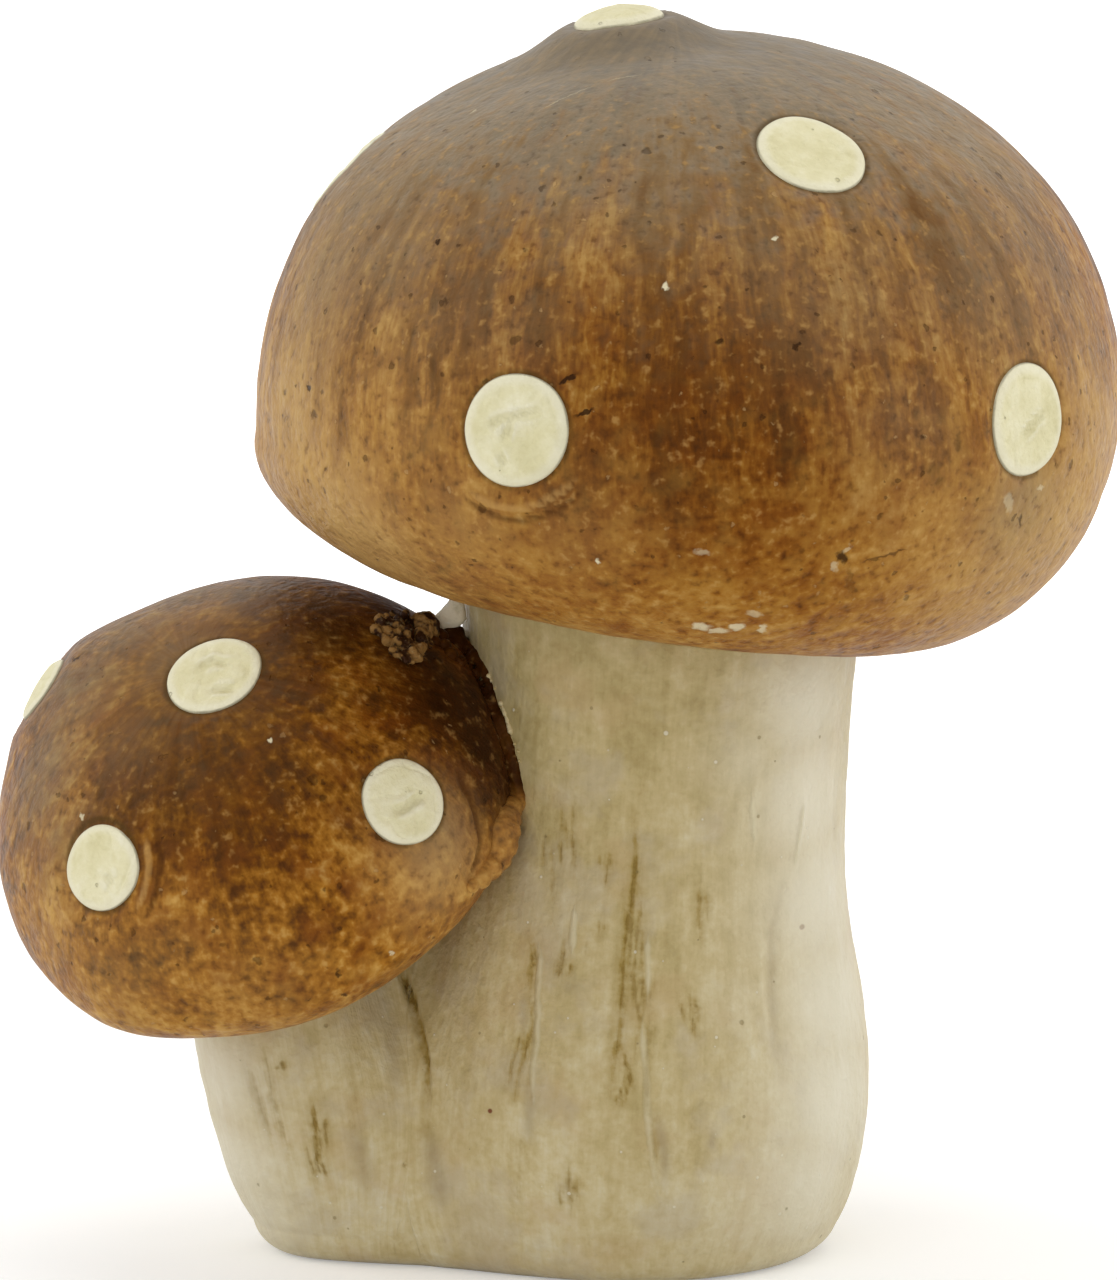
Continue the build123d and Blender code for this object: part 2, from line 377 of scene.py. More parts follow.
# brown glaze of the caps: a mottled ochre and rust ground, a greyish veil brushed down over it from the
# crown, partly painted sheen of the light from above
def capPaint(name, look, darkMarks, lightMarks):
    paint, tree, shader = startPaint(name)
    here = put(tree, "TexCoord").outputs["Object"]
    flow = attributeOf(tree, "flow", "Vector")
    slope = put(tree, "SeparateXYZ", {0: flow}).outputs[2]
    wander = put(tree, "TexNoise", {"Vector": here, "Scale": 170, "Detail": 3.0}).outputs["Color"]
    bent = pushed(tree, flow, wander, (0.1, 0.1, 0.14))
    streakWide = fuzz(tree, stretched(tree, bent, 9, 1.7), 1.0, 1.0, 2.5, 0.5)
    streak = fuzz(tree, stretched(tree, bent, 22, 4.2), 1.0, 2.0, 2.5, 0.5)
    flick = pushed(tree, flow, wander, (0.03, 0.03, 0.05))
    streakThin = fuzz(tree, stretched(tree, flick, 85, 24.0), 1.0, 3.0, 2.0, 0.5)
    cloud = fuzz(tree, here, 65, 4.0, 2.0)
    blotch = fuzz(tree, here, 190, 5.0, 3.0)
    mottle = fuzz(tree, here, 450, 6.0, 2.5, 0.5)
    grain = fuzz(tree, here, 1050, 7.0, 2.0, 0.5)
    stir = put(tree, "TexNoise", {"Vector": here, "Scale": 1300}).outputs["Color"]
    stir = put(tree, "VectorMath", {0: stir, 1: (-0.5,) * 3}, operation="ADD").outputs[0]
    shaken = pushed(tree, here, stir, (0.0009,) * 3)
    smeared = pushed(tree, here, stir, (0.0012,) * 3)
    burn, pale, dust, ridge, edge = [attributeOf(tree, key)
                                     for key in ("burn", "pale", "dust", "ridge", "spotEdge")]
    brushed = product(tree, between(tree, slope, 0.25, 0.5), between(tree, slope, 1.2, 0.85))

    calm = calc(tree, "MULTIPLY", addShare(tree, 1.0, brushed, -0.6 * look["streak"]), look["mottle"])
    tone = blend(tree, 0.515, (cloud, 0.45), (blotch, look["blotch"]), (mottle, calm),
                 (grain, look["grain"]))
    for lines, weight in ((streakWide, 0.9), (streak, 0.95), (streakThin, 0.85)):
        tone = blend(tree, tone, (lines, calc(tree, "MULTIPLY", brushed, look["streak"] * weight)))
    tone = addShare(tree, tone, between(tree, slope, 0.7, 1.3), look["lowGlow"])
    # lighter towards the sides of the caps: partly paler glaze, partly painted sheen of the side light
    tone = addShare(tree, tone, pale, look["lighten"])
    # darker patches: partly the glaze's own dark brown, partly painted shade in the tall cap's dim middle and
    # in the small cap's nook against the tall stalk
    tone = addShare(tree, tone, burn, -look["darken"])
    base = rampOf(tree, tone, look["tones"])
    rusty = between(tree, fuzz(tree, here, 290, 11.0, 2.5, 0.5), 0.4, 0.72)
    base = lay(tree, base, look["rust"], rusty, look["rustShare"])
    gilt = between(tree, fuzz(tree, here, 420, 12.0, 2.5, 0.5), 0.42, 0.74)
    base = lay(tree, base, look["gilt"], gilt, between(tree, slope, 0.6, 1.1), look["giltShare"])
    # pale coat at the sides: partly paler glaze, partly painted sheen
    base = lay(tree, base, look["pale"], pale, look["paleShare"])

    # greyish veil hanging down from the crown: partly a grey coat of glaze, partly painted sheen of the light
    # from above
    hang = blend(tree, slope, (streakWide, look["veilRagged"]), (cloud, 0.5),
                 (streak, look["veilRagged"] * 0.6), (mottle, 0.25))
    veil = between(tree, hang, look["veilEnd"], look["veilStart"])
    veilAndSheenTint = rampOf(tree, blend(tree, slope, (mottle, 0.5), (grain, 0.25), (streakWide, -0.8),
                              (streak, -0.6)), look["veil"])
    base = over(tree, product(tree, veil, look["veilShare"]), base, veilAndSheenTint)
    # greyish dabs at the top and the left: partly dust, partly painted sheen
    dustAndSheenCoat = calc(tree, "MULTIPLY", dust, blend(tree, 0.8, (streak, 0.8), (mottle, 1.0)), True)
    base = lay(tree, base, look["dust"], dustAndSheenCoat)
    # darkest coat on those patches: partly dark glaze, partly painted shade
    burnt = product(tree, burn, look["burntShare"])
    burnt = calc(tree, "MULTIPLY", burnt, addShare(tree, 0.3, blotch, 1.2), True)
    base = lay(tree, base, look["burnt"], burnt)

    rough = between(tree, slope, 0.1, 0.45)
    base = lay(tree, base, look["speck"], between(tree, grain, 0.57, 0.78), rough, look["crumb"])
    base = lay(tree, base, look["shade"], between(tree, grain, 0.43, 0.22), rough, look["crumb"])
    pits = twoDots(tree, shaken, (330, 1.0, 0.2, 0.4), (800, 2.0, 0.3, 0.3))
    flecks = twoDots(tree, shaken, (360, 3.0, 0.13, 0.4), (800, 4.0, 0.24, 0.3))
    base = lay(tree, base, look["pit"], pits, rough, 0.5)
    base = lay(tree, base, look["fleck"], flecks, rough, 0.4)
    # painted highlight on the ridges beside the spots, and painted shade in the grooves beside them and in
    # the carved seam line
    base = lay(tree, base, look["speck"], between(tree, ridge, 0.2, 0.9), 0.5)
    base = lay(tree, base, look["shade"], between(tree, ridge, -0.2, -0.9), 0.6)
    dark = markSum(tree, smeared, darkMarks)
    light = markSum(tree, smeared, lightMarks)
    base = lay(tree, base, look["pit"], dark)
    base = lay(tree, base, look["splash"], light)
    # dark line round each spot on the cap: partly painted outline, partly painted shade at the spot's foot
    line = product(tree, between(tree, edge, 0.6, 0.05), between(tree, blotch, 0.34, 0.5))
    base = lay(tree, base, look["outline"], line, 0.7)

    relief = blend(tree, 0.0, (mottle, 1.0), (grain, 1.1), (blotch, 0.8))
    relief = blend(tree, relief, (streak, calc(tree, "MULTIPLY", brushed, 0.7)))
    relief = calc(tree, "MULTIPLY", relief, addShare(tree, 0.3, rough, 0.7))
    relief = calc(tree, "SUBTRACT", relief, pits)
    relief = addShare(tree, relief, dark, -1.5)
    relief = addShare(tree, relief, calc(tree, "MAXIMUM", light, flecks), 0.5)
    finishPaint(tree, shader, base, blend(tree, look["gloss"], (mottle, 0.35)), edgeGloss(tree, 0.04, 0.28),
                relief, look["bump"])
    return paint


# cream slip of the stalks, with an olive wash left in the scratches
def stalkPaint(name, look, darkMarks):
    paint, tree, shader = startPaint(name)
    here = put(tree, "TexCoord").outputs["Object"]
    flow = attributeOf(tree, "flow", "Vector")
    wash, far, lift, fold, pale = [attributeOf(tree, key) for key in ("wash", "far", "lift", "fold", "pale")]
    cloud = fuzz(tree, here, 60, 1.0, 3.0)
    blotch = fuzz(tree, here, 210, 2.0, 5.0, 0.66)
    strand = fuzz(tree, stretched(tree, flow, 11, 1.8), 1.0, 3.0, 5.0, 0.62)
    strandThin = fuzz(tree, stretched(tree, flow, 32, 5.0), 1.0, 4.0, 3.0)
    mottle = fuzz(tree, here, 550, 5.0, 3.0)
    grain = fuzz(tree, here, 1300, 6.0, 2.0)
    rise = put(tree, "SeparateXYZ", {0: flow}).outputs[2]
    # the rise term darkens the stalk towards the top: painted shade under the caps
    tone = blend(tree, 0.575, (cloud, 0.35), (blotch, 0.35), (strand, 0.4), (strandThin, 0.15),
                 (mottle, 0.35), (grain, 0.24), (rise, -0.1))
    # paler towards the lit sides of the stalks: partly paler slip, partly painted sheen
    base = rampOf(tree, addShare(tree, tone, pale, 0.12), look["ramp"])
    for key, scale, seed in (("warm", 120, 7.0), ("cool", 140, 8.0)):
        base = lay(tree, base, look[key], between(tree, fuzz(tree, here, scale, seed, 4.0), 0.5, 0.66), 0.4)
    # pale coat on the lit sides: partly paler slip, partly painted sheen
    base = lay(tree, base, look["pale"], pale, 0.9)
    # painted shadows of shallow folds
    base = lay(tree, base, look["fold"], fold, 0.55)
    ragged = blend(tree, far, (mottle, 0.7), (grain, 0.5), (strandThin, 0.6))
    core = product(tree, wash, between(tree, ragged, 0.2, -0.02), 0.85)
    # painted highlight along the raised lines, for the light they catch
    line = between(tree, blend(tree, lift, (mottle, 1.5)), 1.2, 0.2)
    base = lay(tree, base, look["raised"], line, 0.6)
    base = lay(tree, base, look["wash"], wash, between(tree, ragged, 1.4, 0.2), 0.4)
    base = lay(tree, base, look["wash"], wash, between(tree, ragged, 0.48, 0.1), 0.95)
    base = lay(tree, base, look["deep"], core)
    pits = twoDots(tree, here, (280, 6.0, 0.1, 0.3), (700, 8.0, 0.16, 0.16))
    flecks = twoDots(tree, here, (340, 7.0, 0.1, 0.3), (800, 9.0, 0.18, 0.2))
    base = lay(tree, base, look["pit"], pits, 0.5)
    base = lay(tree, base, look["fleck"], flecks, 0.6)
    base = lay(tree, base, look["dot"], markSum(tree, here, darkMarks))
    relief = blend(tree, 0.0, (strandThin, 0.35), (blotch, 0.6), (mottle, 1.0), (grain, 0.7))
    relief = calc(tree, "SUBTRACT", relief, calc(tree, "MAXIMUM", pits, core))
    relief = addShare(tree, calc(tree, "ADD", relief, line), flecks, 0.5)
    finishPaint(tree, shader, base, blend(tree, 0.5, (mottle, 0.3)), edgeGloss(tree, 0.12, 0.7), relief,
                look["bump"])
    return paint


# thick cream paint of the spots, with a dark line round the edge, partly painted outline and partly painted
# shade at the foot of the raised spot
def spotPaint(name, look):
    paint, tree, shader = startPaint(name)
    here = put(tree, "TexCoord").outputs["Object"]
    rim, press = attributeOf(tree, "rim"), attributeOf(tree, "press")
    cloud = fuzz(tree, here, 160, 1.0, 3.0)
    daub = fuzz(tree, here, 480, 2.0, 5.0, 0.64)
    grain = fuzz(tree, here, 2000, 3.0, 2.0)
    base = rampOf(tree, blend(tree, 0.5, (cloud, 0.6), (daub, 0.6), (grain, 0.2)), look["ramp"])
    pits = twoDots(tree, here, (420, 4.0, 0.14, 0.3), (800, 5.0, 0.2, 0.14))
    base = lay(tree, base, look["pit"], pits, 0.5)
    ragged = blend(tree, rim, (daub, 0.05))
    base = lay(tree, base, look["rim"], between(tree, ragged, 0.74, 0.92), 0.45)
    # painted shade in the wrinkles' folds and painted highlight on their raised lips
    base = lay(tree, base, look["pit"], between(tree, press, -0.1, -0.9), 0.22)
    base = lay(tree, base, look["rim"], between(tree, press, 0.1, 0.6), 0.35)
    # dark line at the spot's edge: partly painted outline, partly painted shade
    line = product(tree, between(tree, ragged, 0.962, 0.995), between(tree, cloud, 0.3, 0.5))
    base = lay(tree, base, look["outline"], line, 0.6)
    relief = calc(tree, "SUBTRACT", blend(tree, 0.0, (daub, 1.1), (grain, 0.2)), pits)
    relief = addShare(tree, relief, press, 0.6)
    finishPaint(tree, shader, base, blend(tree, 0.48, (daub, 0.3)), 0.25, relief, look["bump"], 0.0004)
    return paint


# squeezed-out clay: two colours that change with a stored tint
def lutePaint(name, first, second, light, dark, bump):
    paint, tree, shader = startPaint(name)
    here = put(tree, "TexCoord").outputs["Object"]
    blotch = fuzz(tree, here, 420, 1.0, 4.0, 0.65)
    grain = fuzz(tree, here, 1700, 2.0, 3.0)
    mixed = blend(tree, attributeOf(tree, "tint"), (blotch, 0.9))
    base = over(tree, between(tree, mixed, 0.35, 0.65), colour(first), colour(second))
    base = lay(tree, base, light, between(tree, grain, 0.55, 0.72), 0.4)
    base = lay(tree, base, dark, between(tree, blotch, 0.45, 0.3), 0.6)
    finishPaint(tree, shader, base, 0.6, 0.12, addShare(tree, blotch, grain, 0.5), bump)
    return paint


# clay starts
def clayBall(name, halves, cuts, middle, radius):
    bpy.ops.object.select_all(action="DESELECT")
    bpy.ops.mesh.primitive_cube_add(size=2)
    obj = bpy.context.object
    obj.name = name
    bpy.ops.object.mode_set(mode="EDIT")
    bpy.ops.mesh.select_all(action="SELECT")
    if halves:
        bpy.ops.mesh.subdivide(number_cuts=1)
    bpy.ops.mesh.subdivide(number_cuts=cuts)
    bpy.ops.object.mode_set(mode="OBJECT")
    applyModifier(obj, "CAST", cast_type="SPHERE", factor=1.0)
    points = readPoints(obj)
    points *= np.array(radius) / np.linalg.norm(points, axis=1)[:, None]
    writePoints(obj, points + np.array(middle))
    return obj


def clayColumn(name, columns, cuts):  # open tube of radius 1 mm from z = 0 to 1 mm
    bpy.ops.object.select_all(action="DESELECT")
    bpy.ops.mesh.primitive_cylinder_add(vertices=columns, radius=mm, depth=mm, end_fill_type="NOTHING",
                                        location=(0, 0, mm / 2))
    obj = bpy.context.object
    obj.name = name
    bpy.ops.object.transform_apply(location=True, rotation=True, scale=True)
    for count in cuts:
        bpy.ops.object.mode_set(mode="EDIT")
        bpy.ops.mesh.select_mode(type="EDGE")
        bpy.ops.mesh.select_all(action="DESELECT")
        bpy.ops.object.mode_set(mode="OBJECT")
        heights = readPoints(obj)[:, 2]
        ends = np.empty(len(obj.data.edges) * 2, int)
        obj.data.edges.foreach_get("vertices", ends)
        ends = ends.reshape(-1, 2)
        obj.data.edges.foreach_set("select", np.abs(heights[ends[:, 0]] - heights[ends[:, 1]]) > 1e-6)
        bpy.ops.object.mode_set(mode="EDIT")
        bpy.ops.mesh.subdivide(number_cuts=count)
        bpy.ops.object.mode_set(mode="OBJECT")
    return obj


def capFlow(points, plan):  # angle round a cap as a circle, and the way down from its crown
    lean, front = math.radians(plan["tipRight"]), math.radians(plan["tipFront"])
    up = np.array((math.sin(lean) * math.cos(front), -math.sin(front), math.cos(lean) * math.cos(front)))
    side = np.cross((0, 1, 0), up)
    side /= np.linalg.norm(side)
    fore = np.cross(up, side)
    local = points - np.array(plan["middle"])
    x, y, rise = local @ side, local @ fore, local @ up
    turn = np.arctan2(y, x)
    slope = 1 - np.arctan2(rise / plan["height"], np.hypot(x, y) / plan["radius"]) / (math.pi / 2)
    return np.stack([np.cos(turn), np.sin(turn), slope], 1)


def spotFrame(name, capMiddle):  # middle, axis and radius of a round solid
    mesh = nodes[name].data
    mesh.calc_loop_triangles()
    points = readPoints(nodes[name])
    corners = points[np.array([t.vertices for t in mesh.loop_triangles])]
    area = np.linalg.norm(np.cross(corners[:, 1] - corners[:, 0], corners[:, 2] - corners[:, 0]), axis=1)
    centres = corners.mean(1)
    middle = (centres * area[:, None]).sum(0) / area.sum()
    away = centres - middle
    spread = (away * area[:, None]).T @ away
    axis = np.linalg.eigh(spread)[1][:, 0]
    if axis @ (middle - np.array(capMiddle)) < 0:
        axis = -axis
    flat = points - middle
    flat = flat - np.outer(flat @ axis, axis)
    return middle, axis, np.linalg.norm(flat, axis=1).max()


# caps
largeJointUp = (0.1357, 0.0, 0.9907)
smallJointUp = (-0.3065, -0.518, 0.7986)
seatPlan = {"margin": 0.9, "reach": 4, "relax": 260}  # round a spot's seat, across and along its axis, mm
ridgeShape = {"half": 0.5, "grooveAt": 0.95, "grooveHalf": 0.45, "groove": 0.6, "ends": 0.35}
largeCapPlan = {
    "middle": (6.35, 0.0, 80.4),
    "radius": 40.9,
    "height": 36.0,
    "tipRight": -2.2,
    "tipFront": 0.0,
    "start": 75.0,  # radius of the ball it is shrunk from
    "cuts": 62,
    "jointUp": largeJointUp,
    "jointRadius": 9.6,
    "swell": (0.25, 19),  # hand-made unevenness, and the size of its lumps, mm
    "dimple": (0.08, 4.5),
    "push": [  # photo pixel, reach, amount in mm
        ((345, 190), 9, 0.8), ((480, 95), 10, -0.6), ((530, 65), 7, -0.4), ((700, 38), 6, -0.4),
        ((830, 68), 14, -0.75), ((920, 103), 11, -0.35), ((985, 142), 9, -0.5), ((1083, 290), 9, -0.6),
        ((1066, 538), 10, 0.7), ((304, 492), 10, -0.5),
    ],
    # darker dabs in the middle: partly darker glaze, partly painted shade
    "burn": [((680, 420), 13, 0.9), ((590, 470), 9, 0.7), ((760, 450), 10, 0.7), ((640, 500), 8, 0.5),
             ((470, 290), 7, 0.5), ((820, 330), 7, 0.4), ((690, 330), 8, 0.4)],
    # pale dabs at the sides: partly paler glaze, partly painted sheen of the side light
    "pale": [((290, 420), 13, 1.0), ((340, 520), 13, 1.0), ((420, 545), 9, 0.5), ((380, 380), 9, 0.5),
             ((300, 320), 9, 0.6), ((1080, 320), 8, 0.4), ((1095, 430), 11, 0.9), ((1045, 540), 13, 1.0),
             ((1050, 400), 10, 0.4), ((975, 530), 10, 0.45), ((330, 450), 12, 0.5), ((360, 300), 9, 0.3),
             ((450, 520), 9, 0.5), ((560, 530), 8, 0.3), ((400, 430), 9, 0.5), ((375, 375), 9, 0.4)],
    # greyish dabs: partly dust, partly painted sheen at the top and the sides
    "dust": [((360, 190), 10, 0.8), ((330, 260), 9, 0.7), ((450, 130), 9, 0.5), ((980, 160), 10, 0.7),
             ((1020, 230), 10, 0.55), ((900, 120), 9, 0.5), ((1000, 300), 9, 0.5), ((600, 190), 9, 0.4),
             ((760, 260), 7, 0.35), ((510, 330), 5, 0.4), ((400, 250), 8, 0.5), ((1020, 505), 5, 0.6),
             ((850, 300), 8, 0.5), ((900, 410), 7, 0.35), ((430, 240), 8, 0.35), ((470, 300), 7, 0.35),
             ((940, 310), 7, 0.35)],
    # spot pixel, gap from its edge, from and to angle, height
    "ridges": [((516, 436), 2.0, (222, 330), 0.3)],
    "lines": [],
}
smallCapPlan = {
    "middle": (-33.94, -5.5, 41.69),
    "radius": 25.4,
    "height": 20.6,
    "tipRight": -21.0,
    "tipFront": 31.2,
    "start": 50.0,
    "cuts": 44,
    "jointUp": smallJointUp,
    "jointRadius": 5.6,
    "swell": (0.25, 19),
    "dimple": (0.07, 4.5),
    "push": [
        ((60, 690), 8, 1.6), ((98, 655), 7, 0.5), ((45, 935), 8, -0.8), ((98, 1000), 7, 0.7),
        ((200, 1018), 8, -0.5), ((20, 812), 7, -0.4),
    ],
    # darker dabs in the nook against the tall stalk and under the tall cap: partly dark glaze, partly painted
    # shade
    "burn": [((440, 690), 7, 1.0), ((415, 655), 6, 1.0), ((485, 745), 6, 1.0), ((478, 705), 6, 1.0),
             ((503, 780), 4, 1.0), ((488, 785), 4, 0.8), ((330, 625), 7, 0.8), ((300, 680), 8, 0.3),
             ((250, 770), 11, 0.2), ((350, 790), 6, 0.3), ((140, 800), 6, 0.3), ((390, 615), 5, 0.8)],
    # pale dabs at the edges: partly paler glaze, partly painted sheen of the side light
    "pale": [((45, 860), 8, 0.25), ((50, 920), 9, 0.5), ((100, 990), 9, 0.5), ((440, 860), 6, 0.9),
             ((240, 1015), 9, 0.3), ((425, 810), 4, 0.5), ((150, 960), 8, 0.3)],
    # greyish dabs along the top-left edge: partly dust, partly painted sheen
    "dust": [((240, 588), 7, 0.8), ((180, 598), 8, 0.8), ((120, 630), 8, 0.8), ((70, 690), 8, 0.8),
             ((40, 770), 8, 0.8), ((60, 830), 6, 0.5), ((110, 750), 6, 0.35), ((170, 650), 6, 0.5),
             ((440, 815), 4, 0.5), ((320, 597), 4, 0.4)],
    "ridges": [((102, 867), 1.5, (-60, 40), 0.28)],
    # pixels, half width, depth
    "lines": [([(452, 760), (466, 790), (478, 815), (483, 838), (478, 862), (466, 884)], 0.45, 0.4)],
}


def capForm(name, nodeName, plan):
    obj = clayBall(name, True, plan["cuts"], plan["middle"], plan["start"])
    applyModifier(obj, "SHRINKWRAP", target=nodes[nodeName], wrap_method="PROJECT",
                  use_negative_direction=True, use_positive_direction=False)
    return obj


def closeSeats(obj, frames):  # the skin runs on under the spots
    points = readPoints(obj)
    mask = np.zeros(len(points), bool)
    for middle, axis, radius in frames:
        local = points - middle
        rise = local @ axis
        flat = np.linalg.norm(local - np.outer(rise, axis), axis=1)
        mask |= (flat < radius + seatPlan["margin"]) & (np.abs(rise) < seatPlan["reach"])
    relaxVertices(obj, mask, seatPlan["relax"])


def pushAbout(obj, plan):
    tree = treeOf(obj)
    for pixel, reach, amount in plan["push"]:
        place = onPhoto(tree, pixel)[0]
        if place is not None:
            points = readPoints(obj)
            growSkin(obj, points, amount * dab(points, place, reach))


def handFinish(obj, plan, seed):
    pushAbout(obj, plan)
    points = readPoints(obj)
    grow = uneven(points, *plan["swell"], seed) + uneven(points, *plan["dimple"], seed + 1, 2)
    growSkin(obj, points, grow)


# distance from a spot's axis, the angle round it as the camera sees it, and the height along it
def aroundSpot(points, spot):
    middle, axis = spot[:2]
    local = points - middle
    rise = local @ axis
    local = local - np.outer(rise, axis)
    view = np.array(camera.matrix_world.to_3x3())
    return np.linalg.norm(local, axis=1), np.arctan2(local @ view[:, 1], local @ view[:, 0]), rise


def spotAt(frames, pixel):  # the spot that shows nearest to a pixel
    eye = camera.matrix_world.inverted()
    gaps = {}
    for name, (middle, axis, radius) in frames.items():
        seen = eye @ Vector(middle * mm)
        x = shot["width"] / 2 - seen.x / seen.z * shot["focal"]
        y = shot["height"] / 2 + seen.y / seen.z * shot["focal"]
        gaps[name] = math.hypot(x - pixel[0], y - pixel[1]) + (1000 if axis[1] > 0.3 else 0)
    return min(gaps, key=gaps.get)


def raiseRidges(obj, plan, frames):  # low ridges of clay pushed up beside a spot
    points = readPoints(obj)
    mark = np.zeros(len(points))
    lift = np.zeros(len(points))
    for pixel, gap, (start, end), height in plan["ridges"]:
        spot = frames[spotAt(frames, pixel)]
        far, angle, rise = aroundSpot(points, spot)
        middle, half = math.radians((start + end) / 2), math.radians((end - start) / 2)
        turn = np.abs((angle - middle + math.pi) % (2 * math.pi) - math.pi)
        share = np.clip((half - turn) / ridgeShape["ends"], 0, 1) * (np.abs(rise) < 5)
        off = far - spot[2] - gap + 0.25 * waves(points, 3.0, 77)
        ridge = bell(off, ridgeShape["half"]) * share
        groove = bell(off - ridgeShape["grooveAt"], ridgeShape["grooveHalf"]) * share
        lift += height * (ridge - ridgeShape["groove"] * groove)
        mark += ridge - groove
    tree = treeOf(obj)
    for pixels, width, depth in plan["lines"]:
        path = pathOn(tree, pixels)
        gap, along = pathDistance(points + 0.25 * waves(points, 2.5, 78)[:, None], path)
        groove = bell(gap, width) * tapered(along, 5, 0.2)
        lift -= depth * groove
        mark -= groove
    growSkin(obj, points, lift)
    storeValue(obj, "ridge", mark)


def dabbed(points, tree, dabs):  # soft dabs at photo pixels, the strongest where they overlap
    total = np.zeros(len(points))
    for pixel, reach, amount in dabs:
        place = onPhoto(tree, pixel)[0]
        if place is not None:
            total = np.maximum(total, amount * dab(points, place, reach))
    return total


def paintMasks(obj, plan, frames):
    points = readPoints(obj)
    tree = treeOf(obj)
    storeVector(obj, "flow", capFlow(points, plan))
    for key in ("burn", "pale", "dust"):
        storeValue(obj, key, dabbed(points, tree, plan[key]))
    edge = np.full(len(points), 9.0)
    for spot in frames:
        far, angle, rise = aroundSpot(points, spot)
        edge = np.where(np.abs(rise) < seatPlan["reach"], np.minimum(edge, np.abs(far - spot[2])), edge)
    storeValue(obj, "spotEdge", edge)
    return tree


largeSpotNames = sorted(n for n in nodes if n.startswith("large_spot"))
smallSpotNames = sorted(n for n in nodes if n.startswith("small_spot"))
largeFrames = {n: spotFrame(n, largeCapPlan["middle"]) for n in largeSpotNames}
smallFrames = {n: spotFrame(n, smallCapPlan["middle"]) for n in smallSpotNames}
smallSeats = list(smallFrames.values())
smallSpotMends = [((35, 690), 0.78, (0, 0)), ((213, 675), 1.08, (8, 7)), ((402, 803), 0.95, (12, 1)),
                  ((102, 867), 1.0, (6, 9))]
for pixel, size, (right, up) in smallSpotMends:  # photo pixel, size, and pixels it was laid off its seat
    name = spotAt(smallFrames, pixel)
    middle, axis, radius = smallFrames[name]
    view = np.array(camera.matrix_world.to_3x3())
    off = (right * view[:, 0] + up * view[:, 1]) * shot["distance"] / shot["focal"] / mm
    off -= view[:, 2] * (off @ axis) / (view[:, 2] @ axis)
    smallFrames[name] = (middle + off, axis, radius * size)


def shapeCap(obj, plan, lute, seats, frames, seed):
    low, high = lute
    joint = (np.array((low + high) / 2) / mm, np.array(plan["jointUp"]), plan["jointRadius"])
    closeSeats(obj, [*seats, joint])
    handFinish(obj, plan, seed)
    raiseRidges(obj, plan, frames)
    return paintMasks(obj, plan, frames.values())


print("shaping the caps")
largeCap = capForm("tallCap", "large_cap", largeCapPlan)
largeSeats = largeFrames.values()
largeCapTree = shapeCap(largeCap, largeCapPlan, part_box("large_cap_lute"), largeSeats, largeFrames, 3)
smallCap = capForm("smallCap", "small_cap", smallCapPlan)
smallCapTree = shapeCap(smallCap, smallCapPlan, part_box("small_cap_lute"), smallSeats, smallFrames, 11)

largeCapLook = {
    "tones": [(0.22, "3f2107"), (0.38, "6a3b0b"), (0.5, "8a5417"), (0.62, "a36f28"), (0.8, "bd9049")],
    "blotch": 0.26,
    "mottle": 0.42,
    "grain": 0.5,
    "streak": 0.6,
    "lowGlow": 0.07,
    "lighten": 0.1,
    "darken": 0.07,
    "rust": "7d420e",
    "rustShare": 0.4,
    "gilt": "b08238",
    "giltShare": 0.42,
    # colour of the paler glaze and painted sheen at the sides
    "pale": "c0a06a",
    "paleShare": 0.55,
    # grey of the dust and the painted sheen
    "dust": "8b785b",
    # greyish colours at the crown: partly grey glaze, partly painted sheen
    "veil": [(0.0, "736b5b"), (0.3, "807560"), (0.45, "8b7b63"), (0.6, "836a48"), (0.8, "6e4c26"),
             (1.0, "603c16")],
    "veilStart": 0.38,
    "veilEnd": 1.0,
    "veilRagged": 0.9,
    "veilShare": 0.9,
    # darkest brown: partly dark glaze, partly painted shade
    "burnt": "552a06",
    "burntShare": 0.45,
    "crumb": 0.38,
    # pale specks, also the painted highlight on the ridges
    "speck": "c2985a",
    "shade": "46260a",
    "pit": "2a1607",
    "fleck": "c09a66",
    "splash": "e2d6b2",
    # dark line round the spots: partly painted outline, partly painted shade
    "outline": "4a3616",
    "bump": 0.55,
    "gloss": 0.5,
}
largeDark = [  # pixel, half length, half width, slant, strength
    ((568, 379), 1.1, 0.28, 25, 0.9),
    ((585, 412), 1.3, 0.25, 22, 0.9),
    ((842, 557), 0.7, 0.9, 10, 0.85),
    ((850, 580), 0.5, 2.0, 5, 0.3),
    ((885, 556), 2.6, 0.2, 2, 0.5),
    ((438, 242), 0.4, 0.35, 0, 0.9),
    ((309, 387), 0.5, 0.4, 0, 0.9),
    ((720, 342), 0.5, 0.4, 0, 0.8),
    ((796, 346), 0.4, 0.45, 0, 0.8),
    ((650, 60), 0.3, 0.25, 0, 0.6),
    ((676, 62), 0.25, 0.25, 0, 0.6),
    ((1020, 520), 0.3, 0.8, 10, 0.6),
]
